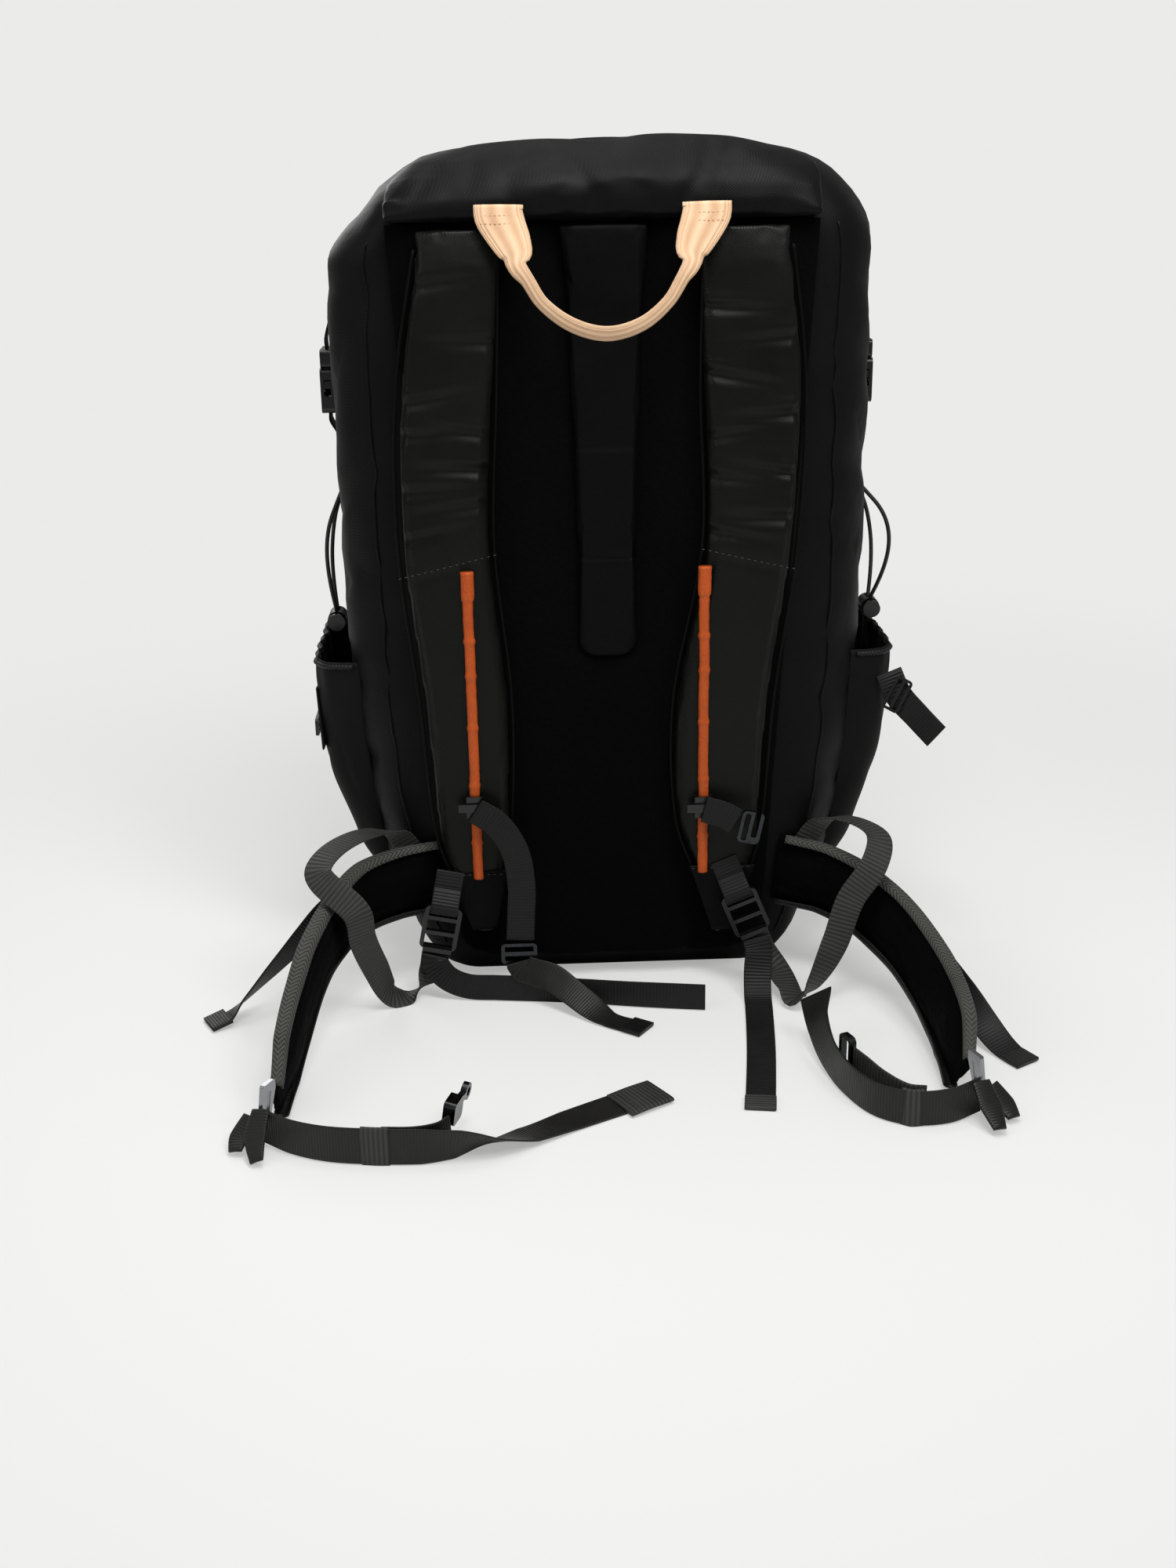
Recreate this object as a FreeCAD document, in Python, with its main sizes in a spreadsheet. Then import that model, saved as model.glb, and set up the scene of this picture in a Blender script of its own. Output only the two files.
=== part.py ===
"""Travel backpack with a harness: a panel-loading pack of about 45 litres, standing on its base.

Row frame: millimetres, +Z up, origin at the middle of the base on the ground.
The harness side faces -Y, the loading door faces +Y, +X is the right of someone who looks at the harness.
"""
import FreeCAD
import Part
import Sketcher
import math
import os
from FreeCAD import Rotation, Vector

SIZES = {
    # bag
    "pack_height": 590, "base_half_width": 120, "belly_half_width": 188, "belly_height": 300,
    "back_reach": 88, "front_reach": 105, "base_back_reach": 76, "base_front_reach": 85,
    "corner_radius": 46, "base_corner_radius": 22, "crown_drop": 70, "crown_half_width": 75,
    "crown_back_in": 48, "crown_front_in": 50, "crown_radius_in": 12, "wall": 3, "side_seam": 146, "base_seam": 30,
    "roll_reach": 28,
    # back panel
    "pad_thick": 11, "pad_gap": 0.4, "pad_bottom": 20, "pad_bottom_half": 111, "pad_top_half": 143,
    "roll_seam": 543, "tongue_top_half": 30, "tongue_bottom_half": 21, "tongue_bottom": 250, "tongue_gap": 0.6,
    "tongue_proud": 3, "tongue_radius": 9,
    # frame and sleeve inside
    "sheet_thick": 1.5, "sheet_inset": 3.1, "sheet_top_half": 122, "sheet_bottom_half": 104, "sheet_bottom": 45,
    "sheet_top": 510,
    "stay_width": 12, "stay_thick": 3, "stay_place": 55, "sleeve_half": 128, "sleeve_bottom": 78,
    "sleeve_top": 350, "sleeve_depth": 26, "sleeve_wall": 2,
    # door
    "door_bottom": 80, "door_top": 512, "door_bottom_half": 112, "door_half": 132, "door_shoulder": 260,
    "door_thick": 6, "door_gap": 1, "door_radius": 52, "door_foot_radius": 6, "tape_width": 7, "tape_thick": 1.2,
    "pouch_half": 92, "pouch_bottom": 110, "pouch_top": 345, "pouch_thick": 18, "pouch_radius": 24,
    "pouch_zip_drop": 30, "pouch_zip_gap": 1,
    # zip sliders
    "slider_width": 9, "slider_length": 12, "slider_thick": 2.8, "slider_height": 452, "bail_reach": 3.6,
    "bail_wire": 1.8,
    "puller_width": 7, "puller_length": 30, "puller_thick": 1.4,
    # side pockets
    "pocket_top": 240, "pocket_bottom": 52, "pocket_back": 66, "pocket_front": 74, "pocket_reach": 24,
    "pocket_wall": 2,
    # shoulder straps
    "strap_thick": 14, "strap_gap": 0.3, "strap_top": 541, "rail_width": 8, "rail_thick": 5, "rail_top": 317,
    "rail_bottom": 90,
    # webbing and cord
    "narrow_web": 20, "belt_web": 25, "handle_web": 32, "web_thick": 1.6, "cord_diameter": 3,
    # moulded fittings
    "lock_width": 27, "lock_height": 34, "lock_thick": 4, "lock_bar": 3, "bar_gap": 0.7,
    "buckle_width": 31, "buckle_height": 32,
    "buckle_thick": 10, "buckle_wall": 1.8, "prong_thick": 2.4, "prong_gap": 0.5, "glide_width": 26,
    "glide_height": 13, "glide_thick": 2.2, "cordlock_radius": 7, "cordlock_length": 17, "plunger_radius": 4.6,
    "plunger_gap": 0.05, "plunger_travel": 4,
    # belt wings and belt metal
    "wing_thick": 12, "plate_thick": 3, "plate_height": 36, "plate_width": 20,
    "hook_block": 16, "hook_thick": 8, "ring_radius": 8, "ring_wire": 2.2,
}

doc = FreeCAD.newDocument("travel_backpack")
sheet = doc.addObject("Spreadsheet::Sheet", "sizes")
for row, (name, number) in enumerate(SIZES.items(), start=1):
    sheet.set(f"A{row}", name)
    sheet.set(f"B{row}", str(number))
    sheet.setAlias(f"B{row}", name)
doc.recompute()

PARTS = []
ARC_STEPS = 4
SIDES = {"left": -1, "right": 1}


def size(name):
    """Give one driving dimension from the sheet."""
    return float(sheet.get(name))


def value(expression):
    """Give the present value of an expression in the sheet's names."""
    found = sheet.evalExpression(expression)
    return float(found.Value if hasattr(found, "Value") else found)


def bind(item, path, expression):
    """Bind a property to an expression."""
    item.setExpression(path, expression)


def expr(text):
    """Write the sheet's name before each dimension in an expression."""
    words = text.replace("(", " ( ").replace(")", " ) ").split()
    return " ".join(f"sizes.{word}" if word in SIZES else word for word in words)


def keep(item, label):
    """Name a finished sub-part and put it on the list of those to write."""
    item.Label = label
    PARTS.append(item)
    return item


def feature(label, shape):
    """Hold a shape that no sketch feature fits, such as a length of webbing."""
    item = doc.addObject("Part::Feature", label)
    item.Shape = shape
    return keep(item, label)


def joined(label, items, kind="Part::Compound"):
    """Put sub-parts of one carrier in one node: side by side, or fused by Part::MultiFuse."""
    made = doc.addObject(kind, label)
    for item in items:
        PARTS.remove(item)
        item.Label = f"{label}_piece"
    if kind == "Part::Compound":
        made.Links = items
    else:
        made.Shapes = items
    return keep(made, label)


# ---------------------------------------------------------------- sketches and features

def new_body(label):
    """Start a body that becomes one sub-part."""
    return keep(doc.addObject("PartDesign::Body", label), label)


def sketch_on(body, plane, offset="0"):
    """Put a sketch on one of the body's own planes, moved along its normal."""
    sketch = body.newObject("Sketcher::SketchObject", "sketch")
    wanted = [item for item in body.Origin.OriginFeatures if item.Role == plane]
    sketch.AttachmentSupport = [(wanted[0], "")]
    sketch.MapMode = "FlatFace"
    bind(sketch, "AttachmentOffset.Base.z", expr(offset))
    return sketch


def outline(sketch, corners):
    """Draw a closed outline whose corners are pairs of expressions."""
    places = [(value(expr(across)), value(expr(up))) for across, up in corners]
    points = [Vector(across, up, 0) for across, up in places]
    count = len(points)
    first = sketch.GeometryCount
    for number in range(count):
        sketch.addGeometry(Part.LineSegment(points[number], points[(number + 1) % count]), False)
    for number in range(count):
        following = first + (number + 1) % count
        sketch.addConstraint(Sketcher.Constraint("Coincident", first + number, 2, following, 1))
    for number, (across, up) in enumerate(corners):
        for kind, text, place in (("DistanceX", across, places[number][0]), ("DistanceY", up, places[number][1])):
            index = sketch.addConstraint(Sketcher.Constraint(kind, -1, 1, first + number, 1, place))
            bind(sketch, f"Constraints[{index}]", expr(text))


def circle(sketch, across, up, radius):
    """Draw a circle whose middle and radius are expressions."""
    middle = Vector(value(expr(across)), value(expr(up)), 0)
    number = sketch.addGeometry(Part.Circle(middle, Vector(0, 0, 1), value(expr(radius))), False)
    for kind, text, place in (("DistanceX", across, middle.x), ("DistanceY", up, middle.y)):
        index = sketch.addConstraint(Sketcher.Constraint(kind, -1, 1, number, 3, place))
        bind(sketch, f"Constraints[{index}]", expr(text))
    index = sketch.addConstraint(Sketcher.Constraint("Radius", number, value(expr(radius))))
    bind(sketch, f"Constraints[{index}]", expr(radius))


def rounded_box_outline(sketch, left, right, low, high, radius):
    """Draw a rectangle with four equal round corners from expressions."""
    x0, x1, y0, y1, r = (value(expr(text)) for text in (left, right, low, high, radius))
    up = Vector(0, 0, 1)
    lines = [((x0 + r, y0), (x1 - r, y0)), ((x1, y0 + r), (x1, y1 - r)),
             ((x1 - r, y1), (x0 + r, y1)), ((x0, y1 - r), (x0, y0 + r))]
    middles = [(x1 - r, y0 + r), (x1 - r, y1 - r), (x0 + r, y1 - r), (x0 + r, y0 + r)]
    for corner in range(4):
        start, end = (Vector(*point, 0) for point in lines[corner])
        sketch.addGeometry(Part.LineSegment(start, end), False)
        round_end = Part.Circle(Vector(*middles[corner], 0), up, r)
        turn = (corner - 1) * math.pi / 2
        sketch.addGeometry(Part.ArcOfCircle(round_end, turn, turn + math.pi / 2), False)
    for corner in range(4):
        line, arc, following = 2 * corner, 2 * corner + 1, (2 * corner + 2) % 8
        sketch.addConstraint(Sketcher.Constraint("Tangent", line, 2, arc, 1))
        sketch.addConstraint(Sketcher.Constraint("Tangent", arc, 2, following, 1))
    for line, kind in ((0, "Horizontal"), (2, "Vertical"), (4, "Horizontal"), (6, "Vertical")):
        sketch.addConstraint(Sketcher.Constraint(kind, line))
    for arc in (3, 5, 7):
        sketch.addConstraint(Sketcher.Constraint("Equal", 1, arc))
    index = sketch.addConstraint(Sketcher.Constraint("Radius", 1, r))
    bind(sketch, f"Constraints[{index}]", expr(radius))
    for kind, line, text, place in (("DistanceX", 6, left, x0), ("DistanceX", 2, right, x1),
                                    ("DistanceY", 0, low, y0), ("DistanceY", 4, high, y1)):
        index = sketch.addConstraint(Sketcher.Constraint(kind, -1, 1, line, 1, place))
        bind(sketch, f"Constraints[{index}]", expr(text))


def pad(body, sketch, length):
    """Pad a sketch along its plane's normal."""
    made = body.newObject("PartDesign::Pad", "pad")
    made.Profile = sketch
    bind(made, "Length", expr(length))
    sketch.Visibility = False
    doc.recompute()
    return made


def pocket(body, sketch, length="", through=False, midplane=False):
    """Cut a sketch out of the body and make sure that something was cut."""
    before = body.Shape.Volume
    made = body.newObject("PartDesign::Pocket", "pocket")
    made.Profile = sketch
    if through:
        made.Type = 1
        made.Midplane = True
    else:
        bind(made, "Length", expr(length))
        made.Midplane = midplane
    doc.recompute()
    if body.Shape.Volume > before - 1e-3:
        made.Reversed = True
        doc.recompute()
    if body.Shape.Volume > before - 1e-3:
        raise RuntimeError(f"a pocket of {body.Label} cuts nothing")
    return made


def edges_along(shape, direction, test=None):
    """List the straight edges that run along a direction and pass a test on their middle."""
    found = []
    for number, edge in enumerate(shape.Edges, start=1):
        if edge.Curve.TypeId != "Part::GeomLine":
            continue
        run = (edge.Vertexes[-1].Point - edge.Vertexes[0].Point).normalize()
        if abs(abs(run.dot(direction)) - 1) < 1e-6 and (test is None or test(edge.CenterOfMass)):
            found.append(f"Edge{number}")
    return found


def fillet(body, direction, radius, test=None):
    """Round the body's edges that run along a direction."""
    base = body.Tip
    made = body.newObject("PartDesign::Fillet", "fillet")
    made.Base = (base, edges_along(base.Shape, direction, test))
    bind(made, "Radius", expr(radius))
    doc.recompute()
    return made


X, Y, Z = Vector(1, 0, 0), Vector(0, 1, 0), Vector(0, 0, 1)
PLANES = {"Y": "XZ_Plane", "Z": "XY_Plane", "X": "YZ_Plane"}


def prism(label, axis, corners, low, high):
    """Make a body of one padded outline between two places along an axis."""
    body = new_body(label)
    start = f"0 - ( {high} )" if axis == "Y" else low
    sketch = sketch_on(body, PLANES[axis], start)
    outline(sketch, corners)
    pad(body, sketch, f"( {high} ) - ( {low} )")
    return body


def place(body, middle, axis=Z, turn=0.0):
    """Place a body that was drawn about its own origin."""
    body.Placement = FreeCAD.Placement(Vector(*middle), Rotation(axis, turn))
    return body


# ---------------------------------------------------------------- the bag's outer form

def stations(inset):
    """Give the bag's cross sections from base to crown: height, half width, back, front and radius."""
    found = []
    height, belly = size("pack_height"), size("belly_height")
    for share in (0, 0.04, 0.1, 0.2, 0.35, 0.6, 1):
        swell = math.sin(math.pi / 2 * share ** 0.6)
        lift = min(1.0, share / 0.25) ** 0.5
        found.append((
            share * belly,
            size("base_half_width") + (size("belly_half_width") - size("base_half_width")) * swell,
            size("base_back_reach") + (size("back_reach") - size("base_back_reach")) * lift,
            size("base_front_reach") + (size("front_reach") - size("base_front_reach")) * lift,
            size("base_corner_radius") + (size("corner_radius") - size("base_corner_radius")) * swell))
    shoulder = height - size("crown_drop")
    for turn in (0, 15, 30, 45, 60, 75, 90):
        angle = math.radians(turn)
        crown = size("crown_half_width")
        found.append((
            shoulder + size("crown_drop") * math.sin(angle),
            crown + (size("belly_half_width") - crown) * math.cos(angle),
            size("back_reach") - size("crown_back_in") * (1 - math.cos(angle)),
            size("front_reach") - size("crown_front_in") * (1 - math.cos(angle)),
            size("corner_radius") - size("crown_radius_in") * (1 - math.cos(angle))))
    low, high = inset, height - inset
    return [(min(max(z, low), high) if z in (0, height) else z, half - inset, back - inset, front - inset,
             radius - inset) for z, half, back, front, radius in found]


def corner_arc(across, deep, height, radius, start):
    """Give the points of a quarter turn about a corner's middle."""
    turns = [math.radians(start + 90 * step / ARC_STEPS) for step in range(ARC_STEPS + 1)]
    return [Vector(across + radius * math.cos(turn), deep + radius * math.sin(turn), height) for turn in turns]


def rounded_ring(height, half, back, front, radius):
    """Give the points of one cross section of the bag."""
    corners = [(half - radius, radius - back, -90), (half - radius, front - radius, 0),
               (radius - half, front - radius, 90), (radius - half, radius - back, 180)]
    ring = []
    for across, deep, start in corners:
        ring += corner_arc(across, deep, height, radius, start)
    return ring


def flat_skin(rings):
    """Close a row of sections, each with as many points, with flat facets, and give the solid."""
    faces = [Part.Face(Part.makePolygon(list(ring) + [ring[0]])) for ring in (rings[0], rings[-1])]
    for ring, following in zip(rings, rings[1:]):
        for corner in range(len(ring)):
            other = (corner + 1) % len(ring)
            low, side, high = ring[corner], ring[other] - ring[corner], following[corner] - ring[corner]
            facing = side.cross(high)
            if facing.Length > 1e-9 and abs((following[other] - low).dot(facing.normalize())) < 1e-7:
                facets = [(low, ring[other], following[other], following[corner])]
            else:
                facets = [(low, ring[other], following[other]), (low, following[other], following[corner])]
            faces += [Part.Face(Part.makePolygon(list(facet) + [facet[0]])) for facet in facets]
    solid = Part.makeSolid(Part.makeShell(faces))
    return solid if solid.Volume > 0 else solid.reversed()


def bag_form(inset=0.0):
    """Loft the bag's outer form, or the same form moved in by a distance."""
    return flat_skin([rounded_ring(*station) for station in stations(inset)])


def box(low, high):
    """Make a box between two corners."""
    span = Vector(*high) - Vector(*low)
    return Part.makeBox(span.x, span.y, span.z, Vector(*low))


def door_wire(margin, place_y):
    """Draw the door's outline, grown by a margin, at a depth."""
    foot, half = size("door_bottom_half") + margin, size("door_half") + margin
    low, high, shoulder = size("door_bottom") - margin, size("door_top") + margin, size("door_shoulder")
    radius = size("door_radius") + margin
    bend = radius * (1 - math.sqrt(0.5))
    right = [Vector(foot, place_y, low), Vector(half, place_y, shoulder), Vector(half, place_y, high - radius),
             Vector(half - bend, place_y, high - bend), Vector(half - radius, place_y, high)]
    left = [Vector(-point.x, place_y, point.z) for point in right]
    edges = [Part.LineSegment(left[0], right[0]).toShape()]
    edges += [Part.LineSegment(right[0], right[1]).toShape(), Part.LineSegment(right[1], right[2]).toShape()]
    edges += [Part.Arc(right[2], right[3], right[4]).toShape(), Part.LineSegment(right[4], left[4]).toShape()]
    edges += [Part.Arc(left[4], left[3], left[2]).toShape(), Part.LineSegment(left[2], left[1]).toShape()]
    edges.append(Part.LineSegment(left[1], left[0]).toShape())
    return Part.Wire(edges)


def door_slab(margin, low, high):
    """Make a slab with the door's outline between two depths."""
    return Part.Face(door_wire(margin, low)).extrude(Vector(0, high - low, 0))


def make_bag():
    """Cut the bag's wall into its sewn panels: base, back, two gussets and crown."""
    outer = bag_form()
    wall = outer.cut(bag_form(size("wall")))
    wall = wall.cut(door_slab(size("door_gap"), 0, size("front_reach") + 20))
    seam, low, high = size("side_seam"), size("base_seam"), size("roll_seam")
    far = 400
    inner = seam - size("corner_radius")
    feature("crown_panel", wall.common(box((-far, -far, high), (far, far, 2 * far))))
    middle = wall.common(box((-far, -far, low), (far, far, high)))
    feature("back_panel", middle.common(box((-seam, -far, low), (seam, 0, high))))
    front = box((-inner, 0, low), (inner, far, size("door_bottom") + 1))
    sill = middle.common(front)
    base = wall.common(box((-far, -far, -1), (far, far, low)))
    feature("base_panel", base.fuse(sill).removeSplitter())
    for name, side in SIDES.items():
        near, away = sorted((side * seam, side * far))
        gusset = middle.common(box((near, -far, low), (away, far, high)))
        near, away = sorted((0, side * seam))
        facing = middle.common(box((near, 0, low), (away, far, high))).cut(sill)
        feature(f"side_gusset_{name}", gusset.fuse(facing).removeSplitter())
    moved = outer.copy()
    moved.translate(Vector(0, -size("roll_reach"), 0))
    pad_half = size("pad_top_half")
    crown_edge = size("crown_back_in") - size("back_reach") - 4
    roll = moved.common(box((-pad_half, -far, high + 1), (pad_half, crown_edge, 2 * far))).cut(outer)
    solids = sorted(roll.Solids, key=lambda solid: solid.Volume)
    feature("top_roll", solids[-1])


# ---------------------------------------------------------------- back panel, frame and sleeve

def make_back():
    """Make the mesh-faced back pad, its middle tongue, the frame sheet, the stays and the sleeve."""
    back, front = "0 - back_reach - pad_gap - pad_thick", "0 - back_reach - pad_gap"
    pad_body = prism("back_pad", "Y",
                     [("0 - pad_bottom_half", "pad_bottom"), ("pad_bottom_half", "pad_bottom"),
                      ("pad_top_half", "roll_seam"), ("0 - pad_top_half", "roll_seam")], back, front)
    fillet(pad_body, Y, "tongue_radius * 2", lambda middle: middle.z < size("roll_seam") / 2)
    tongue = [("0 - tongue_bottom_half", "tongue_bottom"), ("tongue_bottom_half", "tongue_bottom"),
              ("tongue_top_half", "roll_seam"), ("0 - tongue_top_half", "roll_seam")]
    grown = [("0 - tongue_bottom_half - tongue_gap", "tongue_bottom - tongue_gap"),
             ("tongue_bottom_half + tongue_gap", "tongue_bottom - tongue_gap"),
             ("tongue_top_half + tongue_gap", "roll_seam + 1"), ("0 - tongue_top_half - tongue_gap", "roll_seam + 1")]
    slot = sketch_on(pad_body, "XZ_Plane")
    outline(slot, grown)
    pocket(pad_body, slot, through=True)
    fillet(pad_body, Y, "tongue_radius",
           lambda middle: abs(middle.z - size("tongue_bottom") + size("tongue_gap")) < 1)
    body = prism("spine_tongue", "Y", tongue, f"{back} - tongue_proud", front)
    fillet(body, Y, "tongue_radius - tongue_gap", lambda middle: abs(middle.z - size("tongue_bottom")) < 1)
    inside = "0 - back_reach + wall + sheet_inset"
    prism("frame_sheet", "Y",
          [("0 - sheet_bottom_half", "sheet_bottom"), ("sheet_bottom_half", "sheet_bottom"),
           ("sheet_top_half", "sheet_top"), ("0 - sheet_top_half", "sheet_top")], inside, f"{inside} + sheet_thick")
    stay_back = f"{inside} + sheet_thick + 0.2"
    stays = []
    for name, side in SIDES.items():
        left, right = sorted((f"{side} * stay_place - stay_width / 2", f"{side} * stay_place + stay_width / 2"),
                             key=lambda text: value(expr(text)))
        body = prism(f"frame_stay_{name}", "Y",
                     [(left, "sheet_bottom + 5"), (right, "sheet_bottom + 5"),
                      (right, "sheet_top - 5"), (left, "sheet_top - 5")], stay_back, f"{stay_back} + stay_thick")
        fillet(body, Y, "stay_width / 2.1")
        stays.append(body)
    joined("frame_stays", stays)
    start = f"{stay_back} + stay_thick + 0.3"
    sleeve = prism("laptop_sleeve", "Y",
                   [("0 - sleeve_half", "sleeve_bottom"), ("sleeve_half", "sleeve_bottom"),
                    ("sleeve_half", "sleeve_top"), ("0 - sleeve_half", "sleeve_top")],
                   start, f"{start} + sleeve_depth")
    mouth = sketch_on(sleeve, "XY_Plane", "sleeve_top")
    outline(mouth, [("sleeve_wall - sleeve_half", f"{start} + sleeve_wall"),
                    ("sleeve_half - sleeve_wall", f"{start} + sleeve_wall"),
                    ("sleeve_half - sleeve_wall", f"{start} + sleeve_depth - sleeve_wall"),
                    ("sleeve_wall - sleeve_half", f"{start} + sleeve_depth - sleeve_wall")])
    pocket(sleeve, mouth, "sleeve_top - sleeve_bottom - sleeve_wall")


# ---------------------------------------------------------------- door, its pouch and the zips

def make_door():
    """Make the padded door that folds down, the zip tapes on both sides of its gap and the pouch."""
    face = size("front_reach")
    feature("front_door", door_slab(0, face - size("door_thick"), face))
    tape, thick = size("tape_width"), size("tape_thick")
    sill = box((-400, 0, -400), (400, 400, size("door_bottom") + tape))
    inner = door_slab(0, face, face + thick).cut(door_slab(-tape, face, face + thick)).cut(sill)
    feature("door_zip_tape", inner)
    rim = door_slab(size("door_gap") + tape, face, face + thick)
    rim = rim.cut(door_slab(size("door_gap"), face, face + thick)).cut(sill)
    rim.translate(Vector(0, 0.3, 0))
    feature("bag_zip_tape", rim)
    pouch = prism("front_pouch", "Y",
                  [("0 - pouch_half", "pouch_bottom"), ("pouch_half", "pouch_bottom"),
                   ("pouch_half", "pouch_top"), ("0 - pouch_half", "pouch_top")],
                  "front_reach", "front_reach + pouch_thick")
    fillet(pouch, Y, "pouch_radius")
    groove = sketch_on(pouch, "XZ_Plane", "0 - front_reach - pouch_thick")
    outline(groove, [("14 - pouch_half", "pouch_top - pouch_zip_drop - slider_width - pouch_zip_gap"),
                     ("pouch_half - 14", "pouch_top - pouch_zip_drop - slider_width - pouch_zip_gap"),
                     ("pouch_half - 14", "pouch_top - pouch_zip_drop"),
                     ("14 - pouch_half", "pouch_top - pouch_zip_drop")])
    pocket(pouch, groove, "tape_thick")


def make_slider(label, middle, turn):
    """Make one zip slider: a wedge body that narrows to its tail, with the bail that holds the puller."""
    body = new_body(label)
    sketch = sketch_on(body, "XZ_Plane", "0 - slider_thick")
    outline(sketch, [("0 - slider_width / 2", "slider_length / 2"), ("0 - slider_width / 2", "0"),
                     ("0 - slider_width / 3", "0 - slider_length / 2"), ("slider_width / 3", "0 - slider_length / 2"),
                     ("slider_width / 2", "0"), ("slider_width / 2", "slider_length / 2"),
                     ("0", "slider_length / 3")])
    pad(body, sketch, "slider_thick")
    bail = sketch_on(body, "YZ_Plane", "0 - bail_wire / 2")
    outline(bail, [("slider_thick", "0 - slider_length / 3"), ("slider_thick + bail_reach", "0 - slider_length / 5"),
                   ("slider_thick + bail_reach", "slider_length / 5"), ("slider_thick", "slider_length / 3")])
    pad(body, bail, "bail_wire")
    eye = sketch_on(body, "YZ_Plane", "0 - bail_wire / 2")
    outline(eye, [("slider_thick + 0.01", "0 - slider_length / 5"),
                  ("slider_thick + bail_reach - 1", "0 - slider_length / 7"),
                  ("slider_thick + bail_reach - 1", "slider_length / 7"),
                  ("slider_thick + 0.01", "slider_length / 5")])
    pocket(body, eye, "bail_wire")
    return place(body, middle, Y, turn)


def make_puller(label, middle, turn):
    """Make one puller: a waisted metal tab whose top bar sits in the bail and whose window clears its leg."""
    body = new_body(label)
    sketch = sketch_on(body, "XZ_Plane", "0 - puller_thick")
    outline(sketch, [("0 - puller_width / 2", "0.8"), ("0 - puller_width / 3", "0 - puller_length / 2"),
                     ("0 - puller_width / 2", "0 - puller_length"), ("puller_width / 2", "0 - puller_length"),
                     ("puller_width / 3", "0 - puller_length / 2"), ("puller_width / 2", "0.8")])
    pad(body, sketch, "puller_thick")
    window = sketch_on(body, "XZ_Plane", "0")
    outline(window, [("0 - bail_wire / 2 - 0.4", "0 - slider_length / 2"),
                     ("bail_wire / 2 + 0.4", "0 - slider_length / 2"),
                     ("bail_wire / 2 + 0.4", "0 - 0.8"), ("0 - bail_wire / 2 - 0.4", "0 - 0.8")])
    pocket(body, window, through=True)
    return place(body, middle, Y, turn)


def make_zip_hardware():
    """Park a slider on each side of the door and one on the pouch."""
    deep = size("front_reach") + size("tape_thick") + 0.6
    for name, side in SIDES.items():
        middle = (side * (size("door_half") + size("door_gap") / 2), deep, size("slider_height"))
        make_slider(f"door_slider_{name}", middle, 0)
        make_puller(f"door_puller_{name}", (middle[0], deep + size("slider_thick") + 0.5, middle[2]), 0)
    high = size("pouch_top") - size("pouch_zip_drop") - (size("slider_width") + size("pouch_zip_gap")) / 2
    middle = (size("pouch_half") - 30, size("front_reach") + size("pouch_thick") - size("tape_thick") + 0.3, high)
    slider = make_slider("pouch_slider", middle, 90)
    puller = make_puller("pouch_puller", (middle[0], middle[1] + size("slider_thick") + 0.5, high), 90)
    joined("pouch_slider", [slider, puller])


# ---------------------------------------------------------------- side pockets

def pocket_form(side, inset):
    """Loft a side pocket's outer form, or its hollow."""
    sections = []
    low, high = size("pocket_bottom"), size("pocket_top")
    outer = size("pocket_reach")
    for share, reach in ((0, 0.3), (0.25, 0.8), (0.6, 1.15), (1, 1.05)):
        height = low + (high - low) * share
        if inset and share == 0:
            height += inset
        if inset and share == 1:
            height += 1
        swell = math.sin(math.pi / 2 * min(1.0, height / size("belly_height")) ** 0.6)
        half = size("base_half_width") + (size("belly_half_width") - size("base_half_width")) * swell
        edge = half + outer * reach - inset
        root = half - size("corner_radius")
        back, front = size("pocket_back") - inset - 6 * (1 - share), size("pocket_front") - inset - 6 * (1 - share)
        radius = 22 - inset
        back_arc = corner_arc(edge - radius, radius - back, height, radius, -90)
        front_arc = corner_arc(edge - radius, front - radius, height, radius, 0)
        ring = [Vector(root, -back, height)] + back_arc + front_arc + [Vector(root, front, height)]
        sections.append([Vector(side * point.x, point.y, point.z) for point in ring])
    return flat_skin(sections)


def make_pockets():
    """Make the two stretch pockets, each a pouch sewn round a gusset and open at the top."""
    bag = bag_form(-0.3)
    for name, side in SIDES.items():
        shell = pocket_form(side, 0).cut(pocket_form(side, size("pocket_wall"))).cut(bag)
        solids = sorted(shell.Solids, key=lambda solid: solid.Volume)
        feature(f"side_pocket_{name}", solids[-1])


# ---------------------------------------------------------------- webbing and cord

def ribbon(points, across, width, thick):
    """Make a flat strap through points; across gives the way its width faces at each of them."""
    rings = []
    places = [Vector(*point) for point in points]
    widths = width if isinstance(width, (list, tuple)) else [width] * len(places)
    depths = thick if isinstance(thick, (list, tuple)) else [thick] * len(places)
    for number, middle in enumerate(places):
        before, after = places[max(number - 1, 0)], places[min(number + 1, len(places) - 1)]
        run = (after - before).normalize()
        face = Vector(*across[number])
        face = (face - run * face.dot(run)).normalize()
        normal = run.cross(face)
        half, deep = face * (widths[number] / 2), normal * (depths[number] / 2)
        rings.append([middle - half - deep, middle + half - deep, middle + half + deep, middle - half + deep])
    return flat_skin(rings)


def web(label, points, across, width):
    """Make one length of webbing from a route chosen by hand."""
    return feature(label, ribbon(points, across, size(width), size("web_thick")))


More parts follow.
